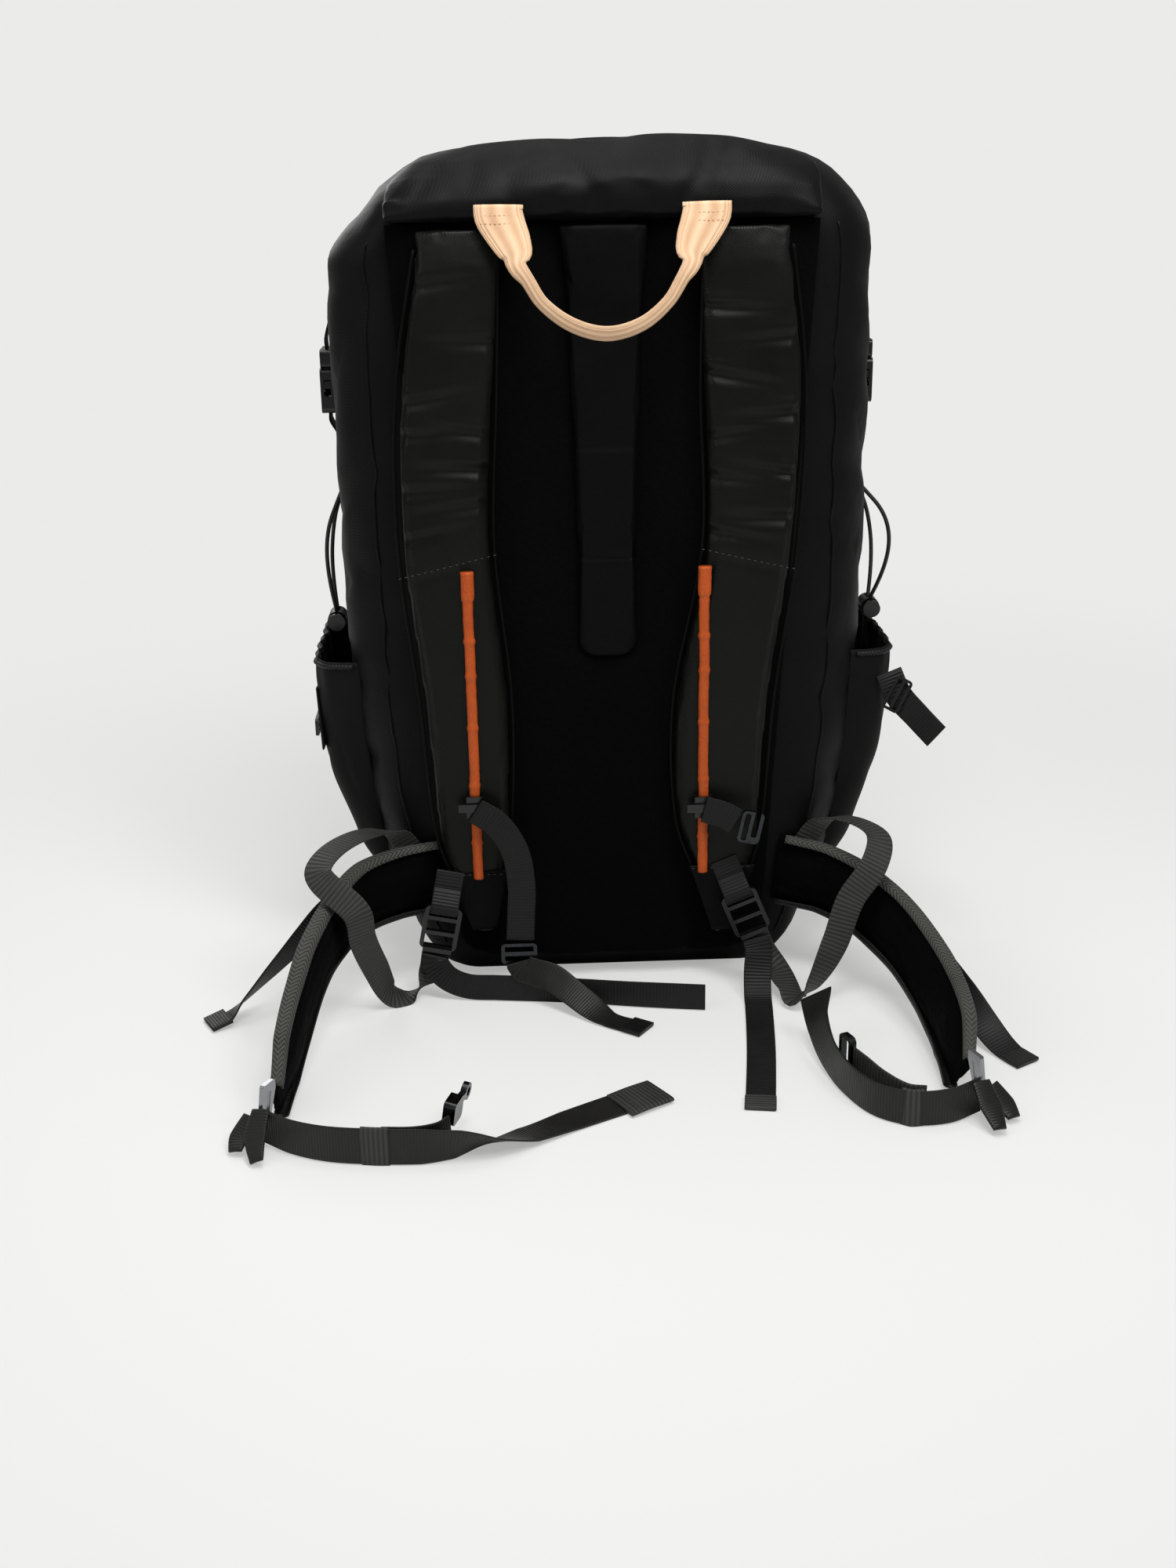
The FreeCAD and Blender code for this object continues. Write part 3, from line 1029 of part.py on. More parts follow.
def make_belt_hardware():
    """Make the hook that ends the left belt loop and the bar ring that ends the right one."""
    block = new_body("belt_hook")
    sketch = sketch_on(block, "XZ_Plane", "0 - hook_thick / 2")
    rounded_box_outline(sketch, "0 - hook_block / 2", "hook_block / 2", "0 - hook_block / 2", "hook_block / 2", "3")
    pad(block, sketch, "hook_thick")
    neck = sketch_on(block, "XZ_Plane", "0 - hook_thick / 4")
    outline(neck, [("0 - 3.5", "hook_block / 2 - 1"), ("3.5", "hook_block / 2 - 1"),
                   ("2", "hook_block / 2 + 12"), ("0 - 2", "hook_block / 2 + 12")])
    pad(block, neck, "hook_thick / 2")
    eye = sketch_on(block, "XZ_Plane", "0 - hook_thick / 4")
    circle(eye, "0", "hook_block / 2 + 12 + ring_radius / 2", "ring_radius / 1.4")
    pad(block, eye, "hook_thick / 2")
    hole = sketch_on(block, "XZ_Plane")
    circle(hole, "0", "hook_block / 2 + 12 + ring_radius / 2", "ring_radius / 2.6")
    pocket(block, hole, through=True)
    block.Placement = FreeCAD.Placement(Vector(-112.5, -331.3, 26), Rotation(Vector(0.25, 0.3, 0.9), Vector(0, 0, 0),
                                                                        Vector(0.3, 0.9, 0), "ZXY"))
    ring = new_body("belt_ring")
    sketch = sketch_on(ring, "XZ_Plane", "0 - ring_wire")
    rounded_box_outline(sketch, "0 - 7", "7", "0 - belt_web / 2 - 3", "belt_web / 2 + 3", "4")
    pad(ring, sketch, "ring_wire * 2")
    hole = sketch_on(ring, "XZ_Plane")
    rounded_box_outline(hole, "0 - 4", "4", "0 - belt_web / 2 - 0.5", "belt_web / 2 + 0.5", "2")
    pocket(ring, hole, through=True)
    place(ring, (146.9, -269.8, 20), Z, 113)


STABILIZERS = {
    "left": ([(-179.4, -111.2, 83), (-188.6, -115.2, 82), (-207, -121, 70), (-226, -128, 52), (-248, -138, 32),
              (-268, -148, 14), (-279, -154, 4.6), (-292, -161, 1.4)],
             [(0, 0, 1), (0, 0, 1), (0, 0, 1), (0, -0.2, 1), (0.1, -0.5, 0.8), (0.2, -0.8, 0.5), (0.4, -0.9, 0.1),
              (0.5, -0.85, 0)]),
    "right": ([(204.4, -140, 53.9), (213.4, -148.9, 49.2), (227, -167, 42), (240, -193, 29), (251, -217, 15),
               (260, -234, 5.4), (267, -246, 1.8), (273, -256, 1.3)],
              [(0.37, 0, 0.93), (0.37, 0, 0.93), (0.4, 0, 0.9), (0.5, 0.1, 0.9), (0.7, 0.3, 0.5),
               (0.85, 0.45, 0.2), (0.87, 0.48, 0), (0.87, 0.48, 0)]),
}


def make_stabilizers():
    """Make the free tails of the straps that pull the wings towards the bag."""
    joined("stabilizer_tails", [web(f"stabilizer_tail_{name}", points, across, "narrow_web")
                                for name, (points, across) in STABILIZERS.items()])


def write_parts():
    """Check every object, then write each sub-part as one STEP file."""
    doc.recompute()
    for item in doc.Objects:
        if {"Invalid", "Error"} & set(item.State):
            raise RuntimeError(f"{item.Label} failed: {item.State}")
    os.makedirs("parts", exist_ok=True)
    for item in PARTS:
        shape = item.Shape
        if shape.isNull() or not shape.isValid() or shape.Volume < 1:
            raise RuntimeError(f"{item.Label} has no valid solid")
        shape.exportStep(os.path.join("parts", f"{item.Label}.step"))
    print(len(PARTS), "sub-parts written")


make_bag()
make_back()
make_door()
make_zip_hardware()
make_pockets()
make_straps()
make_adjusters()
make_sternum()
make_handle()
make_compression()
make_shock_cords()
make_pocket_straps()
make_wings()
make_belt_hardware()
make_stabilizers()
write_parts()
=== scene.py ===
"""Travel backpack with a harness: the fabrics, webbing, fittings and finishes that dress its frame.

Sizes are millimetres in the frame of the part: the harness faces -Y, the door +Y, and +Z is up.
"""
import logging
import math
import random
from dataclasses import dataclass
from enum import Enum
from typing import Any, Callable, Optional, Sequence

import bmesh
import bpy
from mathutils import Matrix, Quaternion, Vector, noise


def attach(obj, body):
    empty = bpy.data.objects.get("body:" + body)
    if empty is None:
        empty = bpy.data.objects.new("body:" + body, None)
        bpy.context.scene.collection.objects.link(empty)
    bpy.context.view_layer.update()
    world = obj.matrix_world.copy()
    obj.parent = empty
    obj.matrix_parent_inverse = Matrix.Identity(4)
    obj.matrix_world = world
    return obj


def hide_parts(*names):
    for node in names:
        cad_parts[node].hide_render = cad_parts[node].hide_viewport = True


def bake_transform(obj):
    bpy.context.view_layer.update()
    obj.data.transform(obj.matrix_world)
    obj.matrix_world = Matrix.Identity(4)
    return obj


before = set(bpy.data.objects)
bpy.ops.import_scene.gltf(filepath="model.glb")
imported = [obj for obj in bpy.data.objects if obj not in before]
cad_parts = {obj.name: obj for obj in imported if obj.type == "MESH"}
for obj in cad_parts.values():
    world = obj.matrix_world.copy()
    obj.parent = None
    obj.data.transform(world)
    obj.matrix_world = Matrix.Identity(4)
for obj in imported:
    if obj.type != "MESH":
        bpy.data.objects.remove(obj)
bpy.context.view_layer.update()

MM = 0.001
LOG = logging.getLogger("backpack")
SIDES = {"left": -1, "right": 1}

Point = tuple[float, float, float]
Place = Callable[[float, float], Vector]


# ---------------------------------------------------------------- finishes

def linear(code: str) -> tuple[float, float, float, float]:
    """Turn an sRGB hex colour to linear.

    Args:
        code: six hex digits.

    Returns:
        The linear red, green and blue, and an alpha of 1.
    """
    parts = [int(code[place:place + 2], 16) / 255 for place in (0, 2, 4)]
    return (*(part / 12.92 if part <= 0.04045 else ((part + 0.055) / 1.055) ** 2.4 for part in parts), 1.0)


def add(tree: bpy.types.NodeTree, kind: str, inputs: Optional[dict] = None,
        **settings: Any) -> bpy.types.Node:
    """Add a node with its settings, its values and its links.

    Args:
        tree: the material's tree.
        kind: the node's type.
        inputs: a value, or the socket that feeds it, for each input name or number.
        settings: the node's own properties.

    Returns:
        The new node.
    """
    made = tree.nodes.new(kind)
    for name, setting in settings.items():
        setattr(made, name, setting)
    for name, given in (inputs or {}).items():
        if isinstance(given, bpy.types.NodeSocket):
            tree.links.new(given, made.inputs[name])
        else:
            made.inputs[name].default_value = given
    return made


class Pattern(Enum):
    """How a surface is made, which sets what its relief looks like."""

    WEAVE = "plain weave"
    RIB = "grosgrain rib"
    CORDED = "lengthwise rib"
    HERRINGBONE = "herringbone tape"
    MESH = "spacer mesh"
    GRAIN = "leather grain"
    MOULDED = "moulded"
    BRUSHED = "brushed"


@dataclass(frozen=True)
class Finish:
    """One finish: its two shades, its gloss, its relief and the real size of its pattern."""

    name: str
    dark: str
    light: str
    pattern: Pattern
    pitch: float
    depth: float
    roughness: float = 0.7
    sheen: float = 0.0
    metallic: float = 0.0
    specular: float = 0.5
    ior: float = 1.5
    follows: bool = True
    blotch: float = 60.0
    contrast: float = 0.45

    def relief(self, tree: bpy.types.NodeTree) -> bpy.types.NodeSocket:
        """Draw the pattern's height from 0 to 1.

        Args:
            tree: the material's tree.

        Returns:
            The socket that gives the height.
        """
        place = add(tree, "ShaderNodeTexCoord").outputs["UV" if self.follows else "Object"]
        turn = 2 * math.pi / (self.pitch * MM)
        if self.pattern in (Pattern.WEAVE, Pattern.RIB, Pattern.CORDED, Pattern.HERRINGBONE):
            parts = add(tree, "ShaderNodeSeparateXYZ", {0: place}).outputs
            if self.pattern is Pattern.WEAVE and self.follows:
                first, second = parts[0], parts[1]
            elif self.pattern is Pattern.WEAVE:
                slant = add(tree, "ShaderNodeMath", {0: parts[0], 1: parts[1]}, operation="ADD").outputs[0]
                first, second = slant, parts[2]
            elif self.pattern in (Pattern.RIB, Pattern.CORDED):
                first, second = parts[0 if self.pattern is Pattern.RIB else 1], None
            else:
                fold = add(tree, "ShaderNodeMath", {0: parts[1], 1: 1.4 * self.pitch * MM},
                           operation="PINGPONG")
                zigzag = add(tree, "ShaderNodeMath", {0: parts[0], 1: fold.outputs[0]}, operation="ADD")
                first, second = zigzag.outputs[0], None
            waves = []
            for along in (first, second):
                if along is not None:
                    phase = add(tree, "ShaderNodeMath", {0: along, 1: turn}, operation="MULTIPLY").outputs[0]
                    waves.append(add(tree, "ShaderNodeMath", {0: phase}, operation="SINE").outputs[0])
            wave = waves[0]
            if len(waves) == 2:
                wave = add(tree, "ShaderNodeMath", {0: waves[0], 1: waves[1]},
                           operation="MULTIPLY").outputs[0]
            return add(tree, "ShaderNodeMath", {0: wave, 1: 0.5, 2: 0.5}, operation="MULTIPLY_ADD").outputs[0]
        if self.pattern in (Pattern.MESH, Pattern.GRAIN):
            return add(tree, "ShaderNodeTexVoronoi", {"Vector": place, "Scale": 1 / (self.pitch * MM)},
                       feature="SMOOTH_F1").outputs["Distance"]
        stretch = (1, 1, 14) if self.pattern is Pattern.BRUSHED else (1, 1, 1)
        fine = add(tree, "ShaderNodeMapping", {"Vector": place, "Scale": stretch}).outputs[0]
        return add(tree, "ShaderNodeTexNoise", {"Vector": fine, "Scale": 1 / (self.pitch * MM),
                                                "Detail": 3.0}).outputs[0]

    def material(self) -> bpy.types.Material:
        """Make the material, or give the one that is there."""
        found = bpy.data.materials.get(self.name)
        if found:
            return found
        made = bpy.data.materials.new(self.name)
        made.use_nodes = True
        tree = made.node_tree
        tree.nodes.clear()
        height = self.relief(tree)
        place = add(tree, "ShaderNodeTexCoord").outputs["Object"]
        cloud = add(tree, "ShaderNodeTexNoise", {"Vector": place, "Scale": 1 / (self.blotch * MM),
                                                 "Detail": 4.0, "Roughness": 0.6}).outputs[0]
        tone = add(tree, "ShaderNodeMath", {0: cloud, 1: 0.8, 2: -0.1}, operation="MULTIPLY_ADD").outputs[0]
        tone = add(tree, "ShaderNodeMath", {0: height, 1: self.contrast, 2: tone}, operation="MULTIPLY_ADD",
                   use_clamp=True)
        colour = add(tree, "ShaderNodeMix", {"Factor": tone.outputs[0], 6: linear(self.dark),
                                             7: linear(self.light)},
                     data_type="RGBA").outputs[2]
        rough = add(tree, "ShaderNodeMapRange", {"Value": cloud, "From Min": 0.3, "From Max": 0.7,
                                                 "To Min": max(self.roughness - 0.08, 0.05),
                                                 "To Max": min(self.roughness + 0.1, 1.0)}).outputs[0]
        bump = add(tree, "ShaderNodeBump", {"Height": height, "Strength": 0.7,
                                            "Distance": self.depth * MM}).outputs[0]
        shader = add(tree, "ShaderNodeBsdfPrincipled", {
            "Base Color": colour, "Roughness": rough, "Normal": bump, "Metallic": self.metallic,
            "IOR": self.ior, "Specular IOR Level": self.specular, "Sheen Weight": self.sheen,
            "Sheen Roughness": 0.45})
        add(tree, "ShaderNodeOutputMaterial", {"Surface": shader.outputs[0]})
        return made


# Thread pitches of 0.5 to 1 mm are drawn at about 2 mm and over, because finer ones wouldn't show.
# Nylon twill with a polyurethane face: near black, a soft broad highlight.
SHELL = Finish("nylon_twill_coated", "030303", "090909", Pattern.WEAVE, 2.2, 0.12, 0.5, 0.01, specular=0.11,
               follows=False)
# Stretch-woven strap facing: charcoal with a green cast and a satin highlight.
STRAP = Finish("polyester_satin_woven", "060705", "0F110D", Pattern.WEAVE, 2.0, 0.12, 0.36, 0.01,
               specular=0.14, follows=False)
# Air mesh knitted over foam: matt black with rows of small holes.
MESH = Finish("spacer_mesh_knitted", "010101", "050505", Pattern.MESH, 3.2, 0.7, 0.95, specular=0.06,
              follows=False)
# Smooth facing of the tongue: black with a faint sheen.
TONGUE = Finish("microfibre_brushed_cloth", "020202", "050505", Pattern.WEAVE, 1.8, 0.1, 0.5, specular=0.08,
                follows=False)
# Stretch knit of the side pockets: black, matt, very fine.
STRETCH = Finish("elastane_pocket_knit", "040404", "0B0B0B", Pattern.WEAVE, 1.8, 0.12, 0.7, 0.01,
                 specular=0.15)
# Pale grey ripstop that lines the bag.
LINING = Finish("ripstop_lining_woven", "6E706F", "858786", Pattern.WEAVE, 5.0, 0.1, 0.6, 0.05, follows=False)
# Vegetable-tanned strip round a cord: burnt orange, grained.
LEATHER = Finish("leather_strip_dyed", "9A3B0A", "C4571A", Pattern.GRAIN, 1.6, 0.35, 0.5, specular=0.3,
                 follows=False, blotch=14)
# Cotton-faced polyester webbing in a pale peach tan, with ribs along it drawn at 3 mm so that they show.
PEACH = Finish("peach_webbing_woven", "C09773", "E6C3A0", Pattern.CORDED, 3.0, 0.4, 0.75, 0.05, specular=0.2,
               blotch=25, contrast=0.65)
# Nylon webbing with cross ribs: black, the belt's charcoal, and a grey grosgrain with ribs drawn at 3 mm.
WEBBING = Finish("nylon_webbing_black", "060606", "131313", Pattern.RIB, 2.4, 0.35, 0.5, 0.02, specular=0.25,
                 blotch=40)
OLIVE = Finish("nylon_webbing_charcoal", "0C0C0A", "1B1B17", Pattern.RIB, 2.0, 0.3, 0.42, 0.03,
               specular=0.28, blotch=50)
GREY = Finish("grosgrain_grey_ribbed", "111110", "383836", Pattern.RIB, 3.0, 0.5, 0.55, 0.02, specular=0.28,
              blotch=30, contrast=0.8)
# Herringbone binding tape: two greys in a zigzag, drawn at 3.6 mm so that it shows.
BINDING = Finish("herringbone_tape_woven", "121211", "4C4C48", Pattern.HERRINGBONE, 3.6, 0.4, 0.75, 0.02,
                 specular=0.2, blotch=30, contrast=0.95)
# Acetal mouldings: black, semi-gloss, with the faint orange peel of a moulded face.
ACETAL = Finish("acetal_moulded", "040404", "0A0A0A", Pattern.MOULDED, 1.2, 0.04, 0.28, specular=0.5,
                ior=1.48, follows=False, blotch=20)
# Extruded polyethylene sheet: milky white, smooth.
POLYETHYLENE = Finish("polyethylene_sheet_extruded", "D0D0CC", "E0E0DC", Pattern.MOULDED, 3.0, 0.05, 0.45,
                      follows=False)
# Aluminium: silver, brushed lengthwise, polished on the hip plates, whose darker copy is painted shade for
# dark reflections; zinc castings: gunmetal plated.
ALUMINIUM = Finish("aluminium_brushed", "A9ABAD", "C6C8CA", Pattern.BRUSHED, 1.0, 0.03, 0.32, metallic=1.0,
                   follows=False, blotch=12)
# Hip plates: the aluminium with darker shades, painted shade that stands in for the dark reflections of
# polished metal.
PLATE_PAINTED_SHADE = Finish("aluminium_polished_plate_painted_shade", "6C6E70", "A6A8AA", Pattern.BRUSHED, 1.0, 0.03, 0.2, metallic=1.0,
               follows=False, blotch=12)
GUNMETAL = Finish("zinc_gunmetal_plated", "1B1C1D", "48494B", Pattern.MOULDED, 1.5, 0.05, 0.26, metallic=1.0,
                  follows=False, blotch=9)
# Braided cover over rubber strands, bonded sewing thread, and woven zip tape with a coated face.
ELASTIC = Finish("braided_elastic_cord", "060606", "131413", Pattern.WEAVE, 1.2, 0.2, 0.6, 0.06,
                 follows=False)
THREAD = Finish("bonded_nylon_thread", "1E1F1E", "444543", Pattern.MOULDED, 0.6, 0.05, 0.5, follows=False)
TAPE = Finish("zip_tape_coated", "050505", "0F0F0F", Pattern.RIB, 1.6, 0.1, 0.45, blotch=30)


# ---------------------------------------------------------------- measures

def clamp(value: float, low: float = 0.0, high: float = 1.0) -> float:
    """Keep a value between two limits."""
    return max(low, min(high, value))


def nearest(share: float, rows: int) -> int:
    """Give the number of the row nearest to a share along."""
    return max(0, min(rows, round(share * rows)))


def bell(off: float, wide: float) -> float:
    """Give the height of a smooth ridge, 1 at its middle, at a distance from it."""
    return math.exp(-(off / wide) ** 2)


def squared(value: float, power: float) -> float:
    """Bring a sine or cosine nearer to 1 or -1, which squares off a round section."""
    return math.copysign(abs(value) ** power, value)


def measure(points: Sequence[Sequence[float]]) -> list[float]:
    """Give the distance along a route at each of its points."""
    marks = [0.0]
    for before, after in zip(points, points[1:]):
        marks.append(marks[-1] + max((Vector(after) - Vector(before)).length, 1e-6))
    return marks


def locate(marks: Sequence[float], mark: float) -> tuple[int, float]:
    """Give the part of a route that a distance falls in, and the share of the part behind it."""
    part = next((index for index in range(len(marks) - 2) if mark <= marks[index + 1]), len(marks) - 2)
    return part, (mark - marks[part]) / (marks[part + 1] - marks[part])


def heading(line: Sequence[Vector], number: int) -> Vector:
    """Give the way that a line runs at one of its places."""
    return (line[min(number + 1, len(line) - 1)] - line[max(number - 1, 0)]).normalized()


def spread(points: Sequence[Sequence[float]], count: int) -> list[Vector]:
    """Draw a smooth line through points and divide it evenly by length.

    Args:
        points: the points that the line goes through.
        count: how many places to give.

    Returns:
        The places, the first and last points among them.
    """
    stops = [Vector(point) for point in points]
    marks = measure(stops)
    pulls = []
    for number in range(len(stops)):
        low, high = max(number - 1, 0), min(number + 1, len(stops) - 1)
        pulls.append((stops[high] - stops[low]) / (marks[high] - marks[low]))
    found = []
    for number in range(count):
        mark = marks[-1] * number / (count - 1)
        part, t = locate(marks, mark)
        gap = marks[part + 1] - marks[part]
        here = stops[part] * (2 * t ** 3 - 3 * t ** 2 + 1) + pulls[part] * gap * (t ** 3 - 2 * t ** 2 + t)
        there = stops[part + 1] * (3 * t ** 2 - 2 * t ** 3)
        found.append(here + there + pulls[part + 1] * gap * (t ** 3 - t ** 2))
    return found


# ---------------------------------------------------------------- meshes

def mix(table: Sequence[Sequence[float]], place: float) -> float:
    """Read a table of place and value between its rows."""
    rows = sorted(table)
    if place <= rows[0][0]:
        return rows[0][1]
    for (low, first), (high, last) in zip(rows, rows[1:]):
        if place <= high:
            share = (place - low) / (high - low)
            return first + (last - first) * share * share * (3 - 2 * share)
    return rows[-1][1]


def linked(name: str, data: Any) -> bpy.types.Object:
    """Put data into the scene as a new object at the origin."""
    made = bpy.data.objects.new(name, data)
    bpy.context.scene.collection.objects.link(made)
    return made


def as_object(name: str, mesh: bmesh.types.BMesh) -> bpy.types.Object:
    """Free a bmesh into a new object at the origin."""
    data = bpy.data.meshes.new(name)
    mesh.to_mesh(data)
    mesh.free()
    data.shade_smooth()
    return linked(name, data)


def from_frame(node: str, name: str) -> bpy.types.Object:
    """Copy a solid of the frame as a new piece, with its seams welded."""
    mesh = bmesh.new()
    mesh.from_mesh(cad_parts[node].data)
    bmesh.ops.remove_doubles(mesh, verts=mesh.verts, dist=0.02 * MM)
    return as_object(name, mesh)


def skin(name: str, rows: int, columns: int, place: Place, extent: tuple[float, float] = (100, 100),
         closed: bool = True, capped: bool = True) -> bpy.types.Object:
    """Shape a grid into a skin.

    Args:
        name: the piece's name.
        rows: how many divisions it has along.
        columns: how many it has round or across.
        place: gives the point for a share along and a share round.
        extent: its length and girth, which set the scale of its weave.
        closed: whether the first and last columns meet.
        capped: whether its ends are closed.

    Returns:
        The piece.
    """
    mesh = bmesh.new()
    bmesh.ops.create_grid(mesh, x_segments=rows, y_segments=columns, size=0.5)
    layer = mesh.loops.layers.uv.new("run")
    for face in mesh.faces:
        for loop in face.loops:
            loop[layer].uv = ((loop.vert.co.x + 0.5) * extent[0] * MM,
                              (loop.vert.co.y + 0.5) * extent[1] * MM)
    for vert in mesh.verts:
        vert.co = place(vert.co.x + 0.5, vert.co.y + 0.5) * MM
    if closed:
        bmesh.ops.remove_doubles(mesh, verts=mesh.verts, dist=0.01 * MM)
        rim = [edge for edge in mesh.edges if edge.is_boundary]
        if capped and rim:
            bmesh.ops.holes_fill(mesh, edges=rim, sides=0)
        bmesh.ops.recalc_face_normals(mesh, faces=mesh.faces)
    return as_object(name, mesh)


def web_section(share: float, width: float, thick: float) -> tuple[float, float]:
    """Give a point of a webbing's section, a flat band with full round edges, for a share round it."""
    turn = 2 * math.pi * share
    flat = squared(math.cos(turn), 0.35)
    deep = squared(math.sin(turn), 0.35)
    return flat * width / 2, deep * thick / 2


def webbing(name: str, points: Sequence[Point], across: Sequence[Point], width: Any, thick: float = 1.6,
            flutter: float = 0.0, cup: float = 0.0) -> bpy.types.Object:
    """Weave a band along a route.

    Args:
        name: the piece's name.
        points: the places its middle goes through.
        across: which way its width faces at each of them.
        width: its width, or one for each point.
        thick: its thickness.
        flutter: how far its edges wander out of flat.
        cup: how far its middle is pushed out of the plane of its edges.

    Returns:
        The band.
    """
    marks = measure(points)
    rows = max(16, min(220, int(marks[-1] / 2.2)))
    line = spread(points, rows + 1)
    widths = list(width) if isinstance(width, (list, tuple)) else [width] * len(points)
    ways, spans = [], []
    for number in range(rows + 1):
        part, share = locate(marks, marks[-1] * number / rows)
        ways.append(Vector(across[part]).normalized().lerp(Vector(across[part + 1]).normalized(), share))
        spans.append(widths[part] + (widths[part + 1] - widths[part]) * share)

    def place(along: float, round_: float) -> Vector:
        number = nearest(along, rows)
        run = heading(line, number)
        face = (ways[number] - run * run.dot(ways[number])).normalized()
        normal = run.cross(face)
        out, deep = web_section(round_, spans[number], thick)
        wander = flutter * math.sin(number * 0.11 + 1.3) * (2 * out / spans[number])
        bow = cup * (1 - (2 * out / spans[number]) ** 2)
        return line[number] + face * out + normal * (deep + wander + bow)

    return skin(name, rows, 24, place, (marks[-1], 2 * max(widths)))


def bead(name: str, points: Sequence[Sequence[float]], radius: float, sides: int = 8) -> bpy.types.Object:
    """Lay a round bead, such as piping or a rolled seam, along points."""
    length = measure(points)[-1]
    rows = max(8, min(260, int(length / 3)))
    line = spread(points, rows + 1)

    def place(along: float, round_: float) -> Vector:
        number = nearest(along, rows)
        run = heading(line, number)
        upright = abs(run.z) > 0.95
        side = (Vector((1, 0, 0)) - run * run.x if upright else run.cross(Vector((0, 0, 1)))).normalized()
        up = run.cross(side)
        turn = 2 * math.pi * round_
        return line[number] + (side * math.cos(turn) + up * math.sin(turn)) * radius

    return skin(name, rows, sides, place, (length, 6 * radius))


def stitches(name: str, points: Sequence[Sequence[float]], pitch: float = 4.0,
             size: float = 0.35) -> bpy.types.Object:
    """Sew a row of stitches, each a small bead of thread, along points."""
    count = max(2, int(measure(points)[-1] / pitch))
    line = spread(points, 2 * count + 1)
    mesh = bmesh.new()
    for number in range(count):
        start, end = line[2 * number], line[2 * number + 1]
        run = end - start
        turn = run.to_track_quat("X", "Z").to_matrix().to_4x4()
        scale = Matrix.Diagonal((run.length * 0.55, size, size, 1))
        matrix = Matrix.Scale(MM, 4) @ Matrix.Translation((start + end) / 2) @ turn @ scale
        bmesh.ops.create_icosphere(mesh, subdivisions=1, radius=1.0, matrix=matrix)
    return as_object(name, mesh)


def settle(item: bpy.types.Object) -> None:
    """Apply every modifier of a piece."""
    bpy.context.view_layer.update()
    data = bpy.data.meshes.new_from_object(item.evaluated_get(bpy.context.evaluated_depsgraph_get()))
    item.modifiers.clear()
    item.data = data
    data.shade_smooth()


def inflate(item: bpy.types.Object, voxel: float, cap: float, keep: Callable[[Vector], Vector],
            crease: Optional[Callable[[Vector], Vector]] = None) -> None:
    """Fill a padded piece: even its mesh out, blow it up as cloth, cap the move, then press its creases.

    Args:
        item: the piece.
        voxel: the spacing of its even mesh.
        cap: how far any place may move.
        keep: puts a place back inside the room the piece has.
        crease: moves a place where a fold or a sewn line is.
    """
    remesh = item.modifiers.new("even", "REMESH")
    remesh.mode, remesh.voxel_size = "VOXEL", voxel * MM
    settle(item)
    rest = [vert.co.copy() for vert in item.data.vertices]
    moved = rest
    cloth = item.modifiers.new("air", "CLOTH")
    cloth.settings.use_pressure = True
    cloth.settings.uniform_pressure_force = 4.0
    cloth.settings.effector_weights.gravity = 0.0
    cloth.settings.quality = 4
    cloth.settings.tension_stiffness = 25.0
    cloth.settings.compression_stiffness = 25.0
    cloth.settings.bending_stiffness = 1.5
    scene = bpy.context.scene
    for number in range(1, 21):
        scene.frame_set(number)
    shape = item.evaluated_get(bpy.context.evaluated_depsgraph_get())
    moved = [vert.co.copy() for vert in shape.data.vertices]
    item.modifiers.clear()
    scene.frame_set(1)
    for vert, old, new in zip(item.data.vertices, rest, moved):
        step = new - old
        if step.length > cap * MM:
            step *= cap * MM / step.length
        spot = keep((old + step) / MM)
        vert.co = (crease(spot) if crease else spot) * MM
    subdivide(item, 1)


def subdivide(item: bpy.types.Object, levels: int) -> None:
    """Round a piece off with subdivision, at one level in view and render."""
    smooth = item.modifiers.new("round", "SUBSURF")
    smooth.levels = smooth.render_levels = levels


def thicken(item: bpy.types.Object, thick: float, lined: bool = False) -> None:
    """Give a sheet its wall, inwards from its outer face."""
    wall = item.modifiers.new("wall", "SOLIDIFY")
    wall.thickness, wall.offset = thick * MM, -1.0
    if lined:
        wall.material_offset = 1


def dress(item: bpy.types.Object, finish: Finish, body: str, slot: str, *nodes: str) -> bpy.types.Object:
    """Give a piece its material and its body, and hide the frame nodes that it stands for.

    Args:
        item: the piece.
        finish: its finish.
        body: the body it rides on.
        slot: the name of a material slot; it is not used.
        nodes: the frame nodes that it replaces.

    Returns:
        The piece.
    """
    item.data.materials.append(finish.material())
    if body:
        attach(item, body)
    if nodes:
        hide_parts(*nodes)
    LOG.info("%s: %s on %s", item.name, finish.name, body or "two bodies")
    return item


def puckers(seed: int, low: float, high: float, count: int) -> list[tuple[float, float, float, float]]:
    """Choose creases: height, slant, width and depth of each."""
    dice = random.Random(seed)
    return [(low + (high - low) * (number + dice.random() * 0.8) / count, dice.uniform(-0.22, 0.22),
             dice.uniform(2.4, 3.8), dice.uniform(2.6, 4.6)) for number in range(count)]


# ---------------------------------------------------------------- bag

# How far the crown stands up or sinks, from the left to the right.
CROWN_SINK = ((-188, -26), (-168, -19), (-146, -7), (-120, -1), (-32, 0), (34, 2), (109, 3), (159, 7),
              (188, 4))


